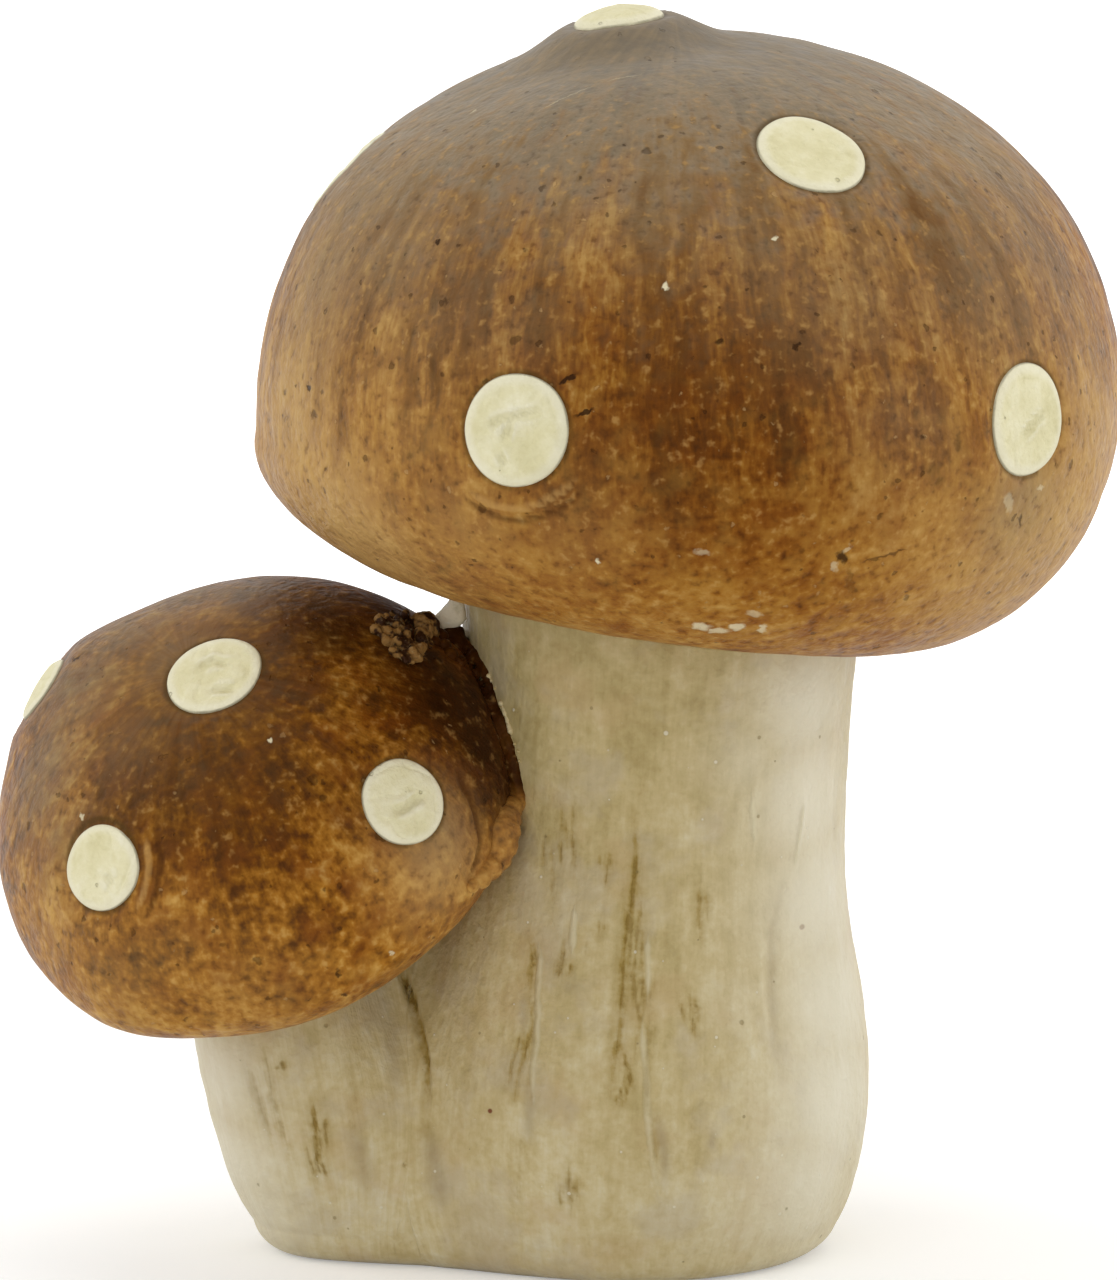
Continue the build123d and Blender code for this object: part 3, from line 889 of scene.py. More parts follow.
largeLight = [
    ((665, 285), 0.42, 0.4, 0, 1.0),
    ((775, 238), 0.35, 0.3, 0, 0.9),
    ((565, 98), 3.6, 0.14, 24, 0.3),
    ((622, 78), 2.2, 0.13, 12, 0.25),
    ((473, 112), 0.6, 0.3, 30, 0.4),
    ((1008, 502), 0.7, 1.5, 12, 0.3),
    ((1040, 487), 0.6, 0.35, 0, 0.4),
    ((598, 562), 0.4, 0.4, 0, 0.9),
    ((702, 627), 1.1, 0.9, -30, 0.75),
    ((718, 631), 1.3, 0.7, 10, 0.65),
    ((737, 627), 0.9, 0.8, 0, 0.75),
    ((762, 629), 0.5, 1.1, 0, 0.65),
    ((754, 614), 1.0, 0.6, -30, 0.4),
    ((834, 567), 0.5, 0.8, 0, 0.4),
    ((848, 549), 0.6, 0.4, 30, 0.35),
    ((702, 552), 1.0, 0.5, 0, 0.35),
]
smallCapLook = dict(largeCapLook)
smallCapLook.update({
    "tones": [(0.2, "341a05"), (0.38, "5e340c"), (0.5, "835010"), (0.62, "a66e22"), (0.8, "cb9b4c")],
    "blotch": 0.5,
    "mottle": 0.5,
    "grain": 0.6,
    "streak": 0.15,
    "lowGlow": 0.115,
    "darken": 0.1,
    # colour of the paler glaze and painted sheen at the edges
    "pale": "b89a68",
    # grey of the dust and the painted sheen
    "dust": "7f6e55",
    "rustShare": 0.6,
    # greyish colours at the crown: partly grey glaze, partly painted sheen
    "veil": [(0.0, "6e583a"), (0.3, "5e4222"), (0.6, "573410")],
    "veilStart": 0.1,
    "veilEnd": 0.7,
    "veilRagged": 0.9,
    "veilShare": 0.55,
    # darkest brown: partly dark glaze, partly painted shade
    "burnt": "2c1403",
    "burntShare": 1.0,
    "crumb": 0.32,
})
smallDark = [((345, 995), 0.3, 0.4, 0, 0.7), ((338, 973), 0.4, 0.5, 0, 0.8), ((75, 660), 0.6, 0.3, 10, 0.8)]
smallLight = [((270, 740), 0.35, 0.35, 0, 0.9), ((392, 954), 0.35, 0.3, 0, 0.6),
              ((82, 817), 0.35, 0.3, 0, 0.7)]
largeCapPaint = capPaint("brushedBrownTall", largeCapLook, placeMarks(largeCapTree, largeDark),
                         placeMarks(largeCapTree, largeLight))
smallCapPaint = capPaint("brushedBrownSmall", smallCapLook, placeMarks(smallCapTree, smallDark),
                         placeMarks(smallCapTree, smallLight))
settle(largeCap, largeCapPaint, "cap_brown", "large_cap")
settle(smallCap, smallCapPaint, "cap_brown", "small_cap")


# raised spots, laid on the finished caps
spotPlan = {
    "cuts": 33,
    "lift": 0.55,
    "crown": 0.12,
    "depth": 0.9,
    "sink": 0.04,
    "spread": 0.8,  # under 1, so that the rows of points lie closer at the edge
    "wobble": 0.03,
    "lumps": (0.13, 3.2),  # amount and size, mm
    "creases": (0.12, 2.6, 0.12),  # depth, spacing, width
    "press": 0.15,  # depth of the wrinkles
    "high": {"large_spot_crown": 0.75},  # this one is a thick button
    "egg": {spotAt(smallFrames, (102, 867)): -80},  # pointed towards an angle
    "eggShape": (0.06, -0.07, -0.02),
    "wrinkles": {  # pixels, half width
        spotAt(largeFrames, (516, 436)): [([(484, 429), (502, 420), (520, 415), (546, 410)], 0.3),
                                          ([(504, 440), (513, 419)], 0.3),
                                          ([(498, 453), (505, 466)], 0.3)],
        spotAt(smallFrames, (213, 675)): [([(196, 672), (214, 660), (232, 664)], 0.3),
                                          ([(210, 690), (236, 688)], 0.3)],
        spotAt(smallFrames, (402, 803)): [([(392, 812), (408, 806), (420, 796)], 0.3)],
        spotAt(smallFrames, (102, 867)): [([(112, 884), (106, 874)], 0.4)],
        spotAt(largeFrames, (1032, 425)): [([(1020, 440), (1034, 424), (1046, 410)], 0.3)],
    },
}
spotLook = {
    "ramp": [(0.25, "d0c797"), (0.45, "ddd5aa"), (0.6, "e5deb9"), (0.8, "efead0")],
    "rim": "ece7d2",
    "pit": "b3a976",
    # dark line round the spots: partly painted outline, partly painted shade
    "outline": "55481f",
    "bump": 0.7,
}
creamSpot = spotPaint("creamSpot", spotLook)


def layFrame(axis):
    side = np.cross((0, 1, 0), axis)
    if np.linalg.norm(side) < 0.1:
        side = np.cross((1, 0, 0), axis)
    side /= np.linalg.norm(side)
    return side, np.cross(axis, side)


def wrinkled(tree, points, wrinkles, seed):  # soft folds with raised lips
    press = np.zeros(len(points))
    for pixels, half in wrinkles:
        path = pathOn(tree, pixels)
        if len(path) < 2:
            continue
        gap, along = pathDistance(points + 0.2 * waves(points, 2.6, seed + 5)[:, None], path)
        half = half * np.clip(1.2 + 0.4 * waves(points, 2.0, seed + 6), 1.0, 1.5)
        press += tapered(along, 4, 0.15) * (0.6 * bell(gap - 2 * half, half) - bell(gap, half))
    return press


def laySpot(name, spot, capTree, seed):
    middle, axis, radius = spot
    side, fore = layFrame(axis)
    obj = clayBall(name.title().replace("_", ""), False, spotPlan["cuts"], (0, 0, 0), 1.0)
    ball = readPoints(obj)
    share = np.minimum(np.hypot(ball[:, 0], ball[:, 1]), 1.0) ** spotPlan["spread"]
    turn = np.arctan2(ball[:, 1], ball[:, 0])
    rng = random.Random(seed)
    wobble = sum(rng.uniform(-1, 1) * np.cos(k * turn + rng.uniform(0, 6.3)) / k for k in (2, 3, 4, 5))
    outward = np.outer(np.cos(turn), side) + np.outer(np.sin(turn), fore)
    form = 1 + spotPlan["wobble"] * wobble
    if name in spotPlan["egg"]:
        angle = aroundSpot(middle + outward, spot)[1] - math.radians(spotPlan["egg"][name])
        for number, amount in enumerate(spotPlan["eggShape"], 1):
            form += amount * np.cos(number * angle)
    dome = spotPlan["crown"] + spotPlan["high"].get(name, 0)
    points = middle + outward * (share * radius * form)[:, None]
    for number, foot in enumerate(points):
        hit = capTree.ray_cast(Vector(foot + axis * 8) * mm, Vector(-axis), 0.02)[0]
        ground = (np.array(hit) / mm - middle) @ axis if hit is not None else 0.0
        edge = math.sqrt(max(0.0, 1 - share[number] ** 7))
        if ball[number, 2] >= 0:
            raised = spotPlan["lift"] * edge + dome * (1 - share[number] ** 2)
        else:
            raised = -spotPlan["depth"] * edge
        points[number] = foot + axis * (ground + raised - spotPlan["sink"])
    writePoints(obj, points)
    upper = (ball[:, 2] > 0) * (1 - share ** 6)
    depth, spacing, width = spotPlan["creases"]
    creases = np.clip(width - np.abs(waves(points, spacing, seed + 3)), 0, 1) / width
    press = wrinkled(treeOf(obj), points, spotPlan["wrinkles"].get(name, []), seed)
    grow = uneven(points, *spotPlan["lumps"], seed, 2) - depth * creases + spotPlan["press"] * press
    writePoints(obj, points + np.outer(grow * upper, axis))
    storeValue(obj, "rim", share)
    storeValue(obj, "press", press * upper)
    settle(obj, creamSpot, "spot_cream", name)


print("laying the spots")
for number, name in enumerate(largeSpotNames):
    laySpot(name, largeFrames[name], largeCapTree, 20 + number)
for number, name in enumerate(smallSpotNames):
    laySpot(name, smallFrames[name], smallCapTree, 40 + number)


# stalks
largeStalkPlan = {
    "columns": 480,
    "cuts": (1, 98),
    "foot": (0.0, 0.0),
    "jointPlace": (3.76, 0.0, 61.48),
    "jointUp": largeJointUp,
    "neck": 19.2,
    "swell": (0.38, 8.5),
    "dimple": (0.07, 2.5),
    "ridging": (0.13, 3.6),  # upright finger marks
    "push": [],
    # pale dabs on the right side: partly paler slip, partly painted sheen of the right lamp
    "pale": [((810, 700), 7, 1.0), ((810, 800), 8, 1.0), ((820, 900), 9, 1.0), ((835, 1000), 9, 1.0),
             ((835, 1100), 9, 1.0), ((815, 1180), 8, 0.9), ((755, 760), 5, 0.5), ((755, 1000), 5, 0.3),
             ((750, 1210), 6, 0.3)],
    "scratches": [  # pixels, half width, depth, stain
        ([(635, 808), (634, 850), (633, 888), (624, 963), (621, 1021), (614, 1057), (609, 1093)],
         0.3, 0.34, 0.9),
        ([(639, 829), (638, 889), (630, 907), (631, 967), (641, 1021), (621, 1100)], 0.26, 0.2, 0.5),
        ([(621, 1047), (629, 1081), (617, 1116)], 0.28, 0.25, 0.7),
        ([(528, 934), (533, 963), (531, 1021), (522, 1060), (514, 1100)], 0.3, 0.32, 0.8),
        ([(541, 930), (539, 980), (533, 1030), (530, 1080), (536, 1150)], 0.3, 0.2, 0.3),
        ([(700, 884), (701, 942)], 0.27, 0.24, 0.6),
        ([(688, 992), (698, 1045)], 0.27, 0.2, 0.5),
        ([(661, 930), (650, 996), (646, 1080), (655, 1150), (656, 1208)], 0.34, 0.18, 0.25),
        ([(572, 794), (573, 831), (571, 880)], 0.27, 0.2, 0.5),
        ([(605, 848), (605, 891)], 0.26, 0.2, 0.5),
        ([(600, 916), (600, 937)], 0.26, 0.2, 0.5),
        ([(565, 930), (562, 965), (556, 985)], 0.27, 0.2, 0.5),
        ([(551, 834), (549, 905)], 0.27, 0.2, 0.45),
        ([(587, 930), (584, 960)], 0.26, 0.18, 0.4),
        ([(643, 780), (640, 800)], 0.26, 0.18, 0.4),
        ([(756, 780), (752, 830), (760, 900)], 0.6, 0.16, 0.0),
        ([(788, 880), (776, 930), (770, 963), (772, 1010), (778, 1060)], 0.6, 0.24, 0.0),
        ([(569, 1160), (573, 1215)], 0.3, 0.18, 0.5),
        ([(522, 1129), (518, 1208)], 0.32, 0.18, 0.35),
        ([(690, 1110), (700, 1180)], 0.5, 0.16, 0.1),
        ([(538, 930), (541, 971), (538, 1016), (532, 1071), (536, 1120)], 0.4, -0.3, 0.0),  # raised lines
        ([(652, 980), (641, 1035), (646, 1071), (648, 1125), (655, 1180), (660, 1216)], 0.4, -0.3, 0.0),
        ([(805, 794), (798, 839), (794, 870)], 0.4, -0.2, 0.0),
        ([(753, 785), (755, 850)], 0.4, -0.2, 0.0),
        ([(647, 930), (648, 1000)], 0.35, -0.2, 0.0),
        ([(575, 900), (572, 960)], 0.35, -0.15, 0.0),
    ],
    "turns": [(126, 4.0), (180, -3.0), (234, 5.0)],  # the scratches go on round the back
}
smallStalkPlan = {
    "columns": 400,
    "cuts": (1, 80),
    "foot": (-25.6, -1.6),
    "jointPlace": (-31.18, -0.84, 34.5),
    "jointUp": smallJointUp,
    "neck": 11.2,
    "swell": (0.25, 8.5),
    "dimple": (0.06, 2.5),
    "ridging": (0.18, 3.6),
    "push": [((192, 1050), 6, -1.2), ((252, 1205), 5, 0.5), ((392, 985), 6, -1.8), ((395, 1115), 6, 0.9)],
    # pale dabs on the left side: partly paler slip, partly painted sheen
    "pale": [((220, 1080), 6, 0.9), ((235, 1160), 6, 0.9), ((260, 1210), 5, 0.7), ((195, 1040), 5, 0.8)],
    "scratches": [
        ([(313, 1093), (316, 1135), (319, 1175)], 0.3, 0.3, 0.8),
        ([(306, 1143), (312, 1165), (317, 1183)], 0.27, 0.2, 0.5),
        ([(280, 1059), (283, 1072)], 0.27, 0.25, 0.6),
        ([(244, 1052), (260, 1106), (273, 1149)], 0.7, 0.25, 0.2),
        ([(262, 1040), (272, 1100), (290, 1160)], 0.5, 0.16, 0.25),
        ([(350, 1040), (356, 1100), (352, 1150)], 0.4, 0.14, 0.2),
        ([(412, 1158), (414, 1168)], 0.3, 0.2, 0.5),
    ],
    "turns": [(100, 6.0), (170, -2.0), (225, 10.0)],
}
scratchPlan = {
    "wander": (0.28, 5.0),  # how far a line strays sideways, and over what length, mm
    "tremble": (0.1, 1.5),
    "broken": 0.22,  # how much the stain breaks up
    "margin": 4,
    "groove": 0.6,  # shares of a line's depth
    "lip": 0.4,
    "lipAt": 2.1,  # in half widths
    "finer": (0.22, 0.14),  # half width and depth of the finer lines beside the stained ones
}
outside = 0.07  # m, from a stalk's axis to well outside it
fusePlan = {  # how softly the stalks run together, mm, by height
    "tight": 6.0,
    "wide": 17.0,
    "from": 15.0,
    "over": 13.0,
    "level": 3.0,
    "saddleGap": 1.3,
    "rounds": 5,
    "roundOver": 3.8,
    "smooth": (-25.0, -8.0, 7.5),  # from and to across, and up to a height
    "crease": [(388, 925), (399, 958), (407, 985), (415, 1012), (422, 1036), (427, 1060), (427, 1095),
               (424, 1135)],
    # the stain along the crease is partly olive wash, partly painted shade between the two stalks
    "creaseCut": (0.36, 0.6, 0.95),  # half width, depth, stain
    # lines of painted shadow of shallow folds
    "folds": [  # pixels, half width, amount
        ([(387, 1020), (392, 1060), (398, 1110)], 0.9, 0.8),
        ([(350, 1120), (362, 1160), (374, 1210)], 1.1, 0.7),
        ([(426, 1120), (436, 1170), (446, 1225)], 1.2, 1.0),
        ([(786, 870), (772, 930), (771, 1000), (777, 1080)], 0.5, 0.7),
        ([(656, 1105), (663, 1150), (665, 1195)], 0.6, 0.9),
        ([(528, 1080), (530, 1150)], 0.6, 0.9),
        ([(521, 985), (524, 1040)], 0.5, 0.7),
        ([(244, 1052), (260, 1106), (273, 1149)], 0.8, 0.5),
        ([(711, 1130), (709, 1155)], 0.4, 0.8),
    ],
}


def stalkForm(name, nodeName, plan, host=None):
    obj = clayColumn(name, plan["columns"], plan["cuts"])
    unit = readPoints(obj)
    share, turn = unit[:, 2], np.arctan2(unit[:, 1], unit[:, 0])
    joint, up, foot = np.array(plan["jointPlace"]), np.array(plan["jointUp"]), np.array(plan["foot"])
    rim = joint[:2] + plan["neck"] * np.stack([np.cos(turn), np.sin(turn)], 1)
    top = joint[2] - ((rim - joint[:2]) @ up[:2]) / up[2]
    height = np.clip(share * top, 0.03, top - 0.03)
    level = np.maximum(height, fusePlan["level"])  # straight down to the floor, rounded later
    axisPlace = foot + (joint[:2] - foot) * (level / joint[2])[:, None]
    tree = treeOf(nodes[nodeName])
    reach = np.full(len(unit), plan["neck"], float)
    cut = np.zeros(len(unit), bool)
    for number in range(len(unit)):
        out = Vector((math.cos(turn[number]), math.sin(turn[number]), 0))
        axis = Vector((*axisPlace[number], level[number])) * mm
        hit = tree.ray_cast(axis + out * outside, -out, outside - 0.2 * mm)[0]
        if hit is not None:
            reach[number] = (hit - axis).length / mm
            cut[number] = host is not None and host.find_nearest(hit)[3] < fusePlan["saddleGap"] * mm
    if host is not None:  # the saddle is hidden, so the round form simply goes on there
        rows = np.round(share, 4)
        for row in np.unique(rows):
            mine = np.flatnonzero(rows == row)
            keep = mine[~cut[mine]]
            lost = mine[cut[mine]]
            keep = keep[np.argsort(turn[keep])]
            reach[lost] = np.interp(turn[lost], turn[keep], reach[keep], period=2 * math.pi)
    out = np.stack([np.cos(turn), np.sin(turn)], 1)
    writePoints(obj, np.column_stack([axisPlace + out * reach[:, None], height]))
    relaxVertices(obj, (height > 0.05) & (height < top - 0.05), 6)
    return obj, turn, height, top


def roundFoot(obj, outs, radius):  # softly rounded lower edge
    points = readPoints(obj)
    low = np.clip(1 - points[:, 2] / radius, 0, 1)
    points[:, :2] -= outs * (radius * (1 - np.sqrt(1 - low ** 2)))[:, None]
    writePoints(obj, points)


def partOf(pixels, start, end, shift):  # a piece of a line of pixels, moved sideways
    places = []
    for share in (start, (start + end) / 2, end):
        whole = share * (len(pixels) - 1)
        number = min(int(whole), len(pixels) - 2)
        (x, y), (nextX, nextY) = pixels[number], pixels[number + 1]
        places.append((x + (nextX - x) * (whole - number) + shift, y + (nextY - y) * (whole - number)))
    return places


def scratchPaths(tree, plan):
    paths = []
    foot, joint = np.array(plan["foot"]), np.array(plan["jointPlace"])
    rng = random.Random(17)
    scratches = list(plan["scratches"])
    for pixels, width, depth, stain in plan["scratches"]:
        for number in range(2 if stain > 0.4 else 0):  # finer ones beside it
            start, shift = rng.uniform(0, 0.5), rng.choice((-1, 1)) * rng.uniform(4, 11)
            finer = partOf(pixels, start, start + rng.uniform(0.4, 0.5), shift)
            scratches.append((finer, *scratchPlan["finer"], rng.uniform(0.35, 0.7)))
    for pixels, width, depth, stain in scratches:
        path = pathOn(tree, pixels)
        if len(path) < 2:
            continue
        paths.append((path, width, depth, stain))
        for turn, rise in plan["turns"]:
            copy = []
            for place in path:
                height = min(max(place[2] + rise, 2.0), joint[2] - 6)
                axis = foot + (joint[:2] - foot) * (place[2] / joint[2])
                angle = math.atan2(*(place[:2] - axis)[::-1]) + math.radians(turn)
                axis = foot + (joint[:2] - foot) * (height / joint[2])
                out = Vector((math.cos(angle), math.sin(angle), 0))
                hit = tree.ray_cast(Vector((*axis, height)) * mm + out * outside, -out, outside)[0]
                if hit is not None:
                    copy.append(np.array(hit) / mm)
            if len(copy) > 1:
                paths.append((copy, width, depth * 0.85, stain * 0.85))
    return paths


# carved lines with a raised lip, and how far each point is from the stained and the raised ones
def scratch(obj, paths, seed):
    points = readPoints(obj)
    carve = np.zeros(len(points))
    far = np.full(len(points), 9.0)
    lift = np.full(len(points), 9.0)
    stain = np.zeros(len(points))
    shift = uneven(points, *scratchPlan["wander"], seed + 1)
    shift += uneven(points, *scratchPlan["tremble"], seed + 2)
    most = scratchPlan["broken"]
    broken = np.clip(0.03 + uneven(points * np.array((1, 1, 0.6)), most, 3.0, seed + 3), 0, most)
    for path, width, depth, amount in paths:
        low = np.min(path, axis=0) - scratchPlan["margin"]
        high = np.max(path, axis=0) + scratchPlan["margin"]
        near = np.flatnonzero(np.all((points > low) & (points < high), axis=1))
        if not len(near):
            continue
        gap, along = pathDistance(points[near] + shift[near, None] * np.array((1, 0, 0)), path)
        taper = tapered(along, 4)
        if depth < 0:
            carve[near] -= depth * bell(gap, width) * taper
            lift[near] = np.minimum(lift[near], gap / width + 1.2 * (1 - taper))
            continue
        groove = scratchPlan["groove"] * depth * bell(gap, width) * taper
        lip = scratchPlan["lip"] * depth * bell(gap - scratchPlan["lipAt"] * width, width) * taper
        carve[near] = np.minimum(carve[near], -groove) + lip
        reach = gap * 0.3 / width + 0.4 * (1 - taper) + broken[near]
        closer = reach < far[near]
        far[near[closer]] = reach[closer]
        stain[near[closer]] = amount
    growSkin(obj, points, carve)
    for key, values in (("far", far), ("lift", lift), ("wash", stain)):
        storeValue(obj, key, values)


# paints soft grey shadows of shallow folds into the stalks' colour
def foldShadowMask(obj, folds):  # soft grey shadows of shallow folds
    points = readPoints(obj)
    total = np.zeros(len(points))
    shift = 0.4 * waves(points, 6.0, 91)
    for path, width, amount in folds:
        gap, along = pathDistance(points + shift[:, None] * np.array((1, 0, 0)), path)
        total = np.maximum(total, amount * bell(gap, width) * tapered(along, 3))
    storeValue(obj, "fold", total)


def stalkFlow(turn, height):
    return np.stack([np.cos(turn), np.sin(turn), height / 25], 1)


def closeEnds(obj):
    pickOnly(obj)
    bpy.ops.object.mode_set(mode="EDIT")
    bpy.ops.mesh.select_mode(type="EDGE")
    bpy.ops.mesh.select_all(action="DESELECT")
    bpy.ops.mesh.select_non_manifold()
    bpy.ops.mesh.fill_holes(sides=0)
    bpy.ops.mesh.select_all(action="SELECT")
    bpy.ops.mesh.normals_make_consistent(inside=False)
    bpy.ops.object.mode_set(mode="OBJECT")


stalkLook = {
    "ramp": [(0.2, "9c8856"), (0.38, "b19f6d"), (0.5, "beac7d"), (0.62, "c9ba90"), (0.85, "d8cfb2")],
    "warm": "b99e70",
    "cool": "b5a890",
    # colour of the painted fold shadows
    "fold": "97866a",
    # colour of the painted highlight on the raised lines
    "raised": "d4caa9",
    # colour of the paler slip and painted sheen on the lit sides
    "pale": "e0d9c2",
    "wash": "9a8140",
    "deep": "80662a",
    "pit": "7d6c40",
    "fleck": "e3ddc8",
    "dot": "6b2d14",
    "bump": 0.4,
}


def finishStalk(obj, plan, height, top, seed):
    pushAbout(obj, plan)
    points = readPoints(obj)
    grow = uneven(points * np.array((1, 1, 0.45)), *plan["swell"], seed)
    grow += uneven(points, *plan["dimple"], seed + 1, 2)
    grow += uneven(points * np.array((1, 1, 0.2)), *plan["ridging"], seed + 4)
    grow *= np.clip((height - 0.5) / 3, 0, 1) * np.clip((top - 0.3 - height) / 3, 0, 1)
    growSkin(obj, points, grow)


def fuseAmount(z):
    share = min(max((fusePlan["from"] - z) / fusePlan["over"], 0), 1)
    return fusePlan["tight"] + (fusePlan["wide"] - fusePlan["tight"]) * share * share * (3 - 2 * share)


def outOf(tree, place):  # signed distance from a form, and the way out of it
    near, face, index, far = tree.find_nearest(place)
    gap = (place - near).dot(face)
    return math.copysign(far, gap) / mm, face


def fuse(obj, own, other):  # both stalks move out to one soft skin round the two of them
    points = readPoints(obj)
    outs = readNormals(obj)[:, :2]
    outs /= np.maximum(np.linalg.norm(outs, axis=1), 0.2)[:, None]
    for number in range(len(points)):
        place = Vector(points[number]) * mm
        place.z = max(place.z, fusePlan["level"] * mm)
        soft = fuseAmount(points[number][2])
        away = outOf(other, place)[0]
        if away > soft or away < -0.3 * soft - 0.4:
            continue
        for step in range(fusePlan["rounds"]):
            first, firstOut = outOf(own, place)
            second, secondOut = outOf(other, place)
            mixed = max(soft - abs(first - second), 0) / soft
            level = min(first, second) - mixed * mixed * soft / 4
            lean = min(max(0.5 + 0.5 * (second - first) / soft, 0), 1)
            way = firstOut * lean + secondOut * (1 - lean)
            way.z = 0
            if way.length < 0.05:
                break
            place -= way.normalized() * (level * mm)
        past = max(first - second, 0)  # beyond the crease it dips under the other stalk
        place -= secondOut * (min(0.03 + 0.12 * past, 1.0) * mm if past > 0.15 else 0)
        points[number][:2] = np.array(place)[:2] / mm
        outs[number] = np.array(way)[:2] / max(way.length, 0.2)
    writePoints(obj, points)
    return outs


def inFront(pixels, trees):  # a line of pixels laid along whichever stalk is in front
    eye = np.array(camera.matrix_world.translation) / mm
    path = []
    for pixel in pixels:
        hits = [hit for tree in trees for hit in pathOn(tree, [pixel])]
        path.append(min(hits, key=lambda hit: np.linalg.norm(hit - eye)))
    return path


def paintStalk(obj, node, plan, turn, height, name, marks):
    scratch(obj, scratchPaths(treeOf(obj), plan) + [crease], 7)
    foldShadowMask(obj, folds)
    storeVector(obj, "flow", stalkFlow(turn, height))
    storeValue(obj, "pale", dabbed(readPoints(obj), treeOf(obj), plan["pale"]))
    closeEnds(obj)
    settle(obj, stalkPaint(name, stalkLook, marks), "stalk_cream", node)


print("shaping the stalks")
largeStalk, largeTurn, largeHeight, largeTop = stalkForm("tallStalk", "large_stalk", largeStalkPlan)
finishStalk(largeStalk, largeStalkPlan, largeHeight, largeTop, 5)
largeStalkTree = treeOf(largeStalk)
smallStalk, smallTurn, smallHeight, smallTop = stalkForm("smallStalk", "small_stalk", smallStalkPlan,
                                                         treeOf(nodes["large_stalk"]))
finishStalk(smallStalk, smallStalkPlan, smallHeight, smallTop, 8)
smallStalkTree = treeOf(smallStalk)
largeOuts = fuse(largeStalk, largeStalkTree, smallStalkTree)
smallOuts = fuse(smallStalk, smallStalkTree, largeStalkTree)
roundFoot(largeStalk, largeOuts, fusePlan["roundOver"])
roundFoot(smallStalk, smallOuts, fusePlan["roundOver"])
start, end, high = fusePlan["smooth"]
for stalk in (largeStalk, smallStalk):
    points = readPoints(stalk)
    across = (points[:, 0] > start) & (points[:, 0] < end)
    relaxVertices(stalk, across & (points[:, 2] > 0.05) & (points[:, 2] < high), 14)
skins = treeOf(largeStalk), treeOf(smallStalk)
crease = (inFront(fusePlan["crease"], skins), *fusePlan["creaseCut"])
folds = [(inFront(pixels, skins), width, amount) for pixels, width, amount in fusePlan["folds"]]
stalkDark = [((490, 1111), 0.35, 0.3, 0, 0.9), ((802, 927), 0.5, 0.35, 10, 0.4)]
stalkMarks = placeMarks(largeStalkTree, stalkDark)
paintStalk(largeStalk, "large_stalk", largeStalkPlan, largeTurn, largeHeight, "creamSlipTall", stalkMarks)
paintStalk(smallStalk, "small_stalk", smallStalkPlan, smallTurn, smallHeight, "creamSlipSmall", [])


# beds of clay that were squeezed out of the joints
def joinBalls(obj, balls):  # adds blobs of clay to a piece
    made = [obj] if obj else []
    for place, radius in balls:
        bpy.ops.object.select_all(action="DESELECT")
        bpy.ops.mesh.primitive_ico_sphere_add(subdivisions=2, radius=radius * mm,
                                              location=Vector(place) * mm)
        bpy.ops.object.transform_apply(location=True, rotation=True, scale=True)
        made.append(bpy.context.object)
    pickOnly(made[0])
    for ball in made:
        ball.select_set(True)
    bpy.ops.object.join()
    return made[0]


def bedOfClay(name, nodeName, balls=(), *, voxel, swell, ragged, seed):
    obj = nodes[nodeName].copy()
    obj.data = nodes[nodeName].data.copy()
    for key in list(obj.keys()):
        del obj[key]
    obj.parent = None
    obj.name = name
    scene.collection.objects.link(obj)
    pickOnly(obj)
    bpy.ops.object.mode_set(mode="EDIT")
    bpy.ops.mesh.select_all(action="SELECT")
    bpy.ops.mesh.remove_doubles(threshold=1e-6)
    bpy.ops.object.mode_set(mode="OBJECT")
    if balls:
        obj = joinBalls(obj, balls)
    applyModifier(obj, "REMESH", mode="VOXEL", voxel_size=voxel * mm)
    points = readPoints(obj)
    growSkin(obj, points, swell + uneven(points, ragged, 2.0, seed, 2))
    applyModifier(obj, "SMOOTH", factor=0.5, iterations=3)
    return obj


def laidOn(blobs, *trees):  # blobs set on whichever form comes first in the list
    ready = []
    for pixel, radius in blobs:
        hits = [hit for tree in trees for hit in pathOn(tree, [pixel])]
        ready.append((hits[0] if hits else atDepth(pixel, seamPlan["depth"]), radius))
    return ready


palePaint = lutePaint("paleLute", "d6c9a6", "ebdfc4", "f2eee4", "c4b897", 0.4)
creasePaint = lutePaint("creaseLute", "94804c", "a5925f", "b0a070", "7c6938", 0.4)
lumpPaint = lutePaint("crumbBrown", "8a6636", "331b08", "bba478", "1a0902", 0.7)
edgePaint = lutePaint("edgeLute", "a8925c", "cdbd92", "d8cba6", "7d6433", 0.4)

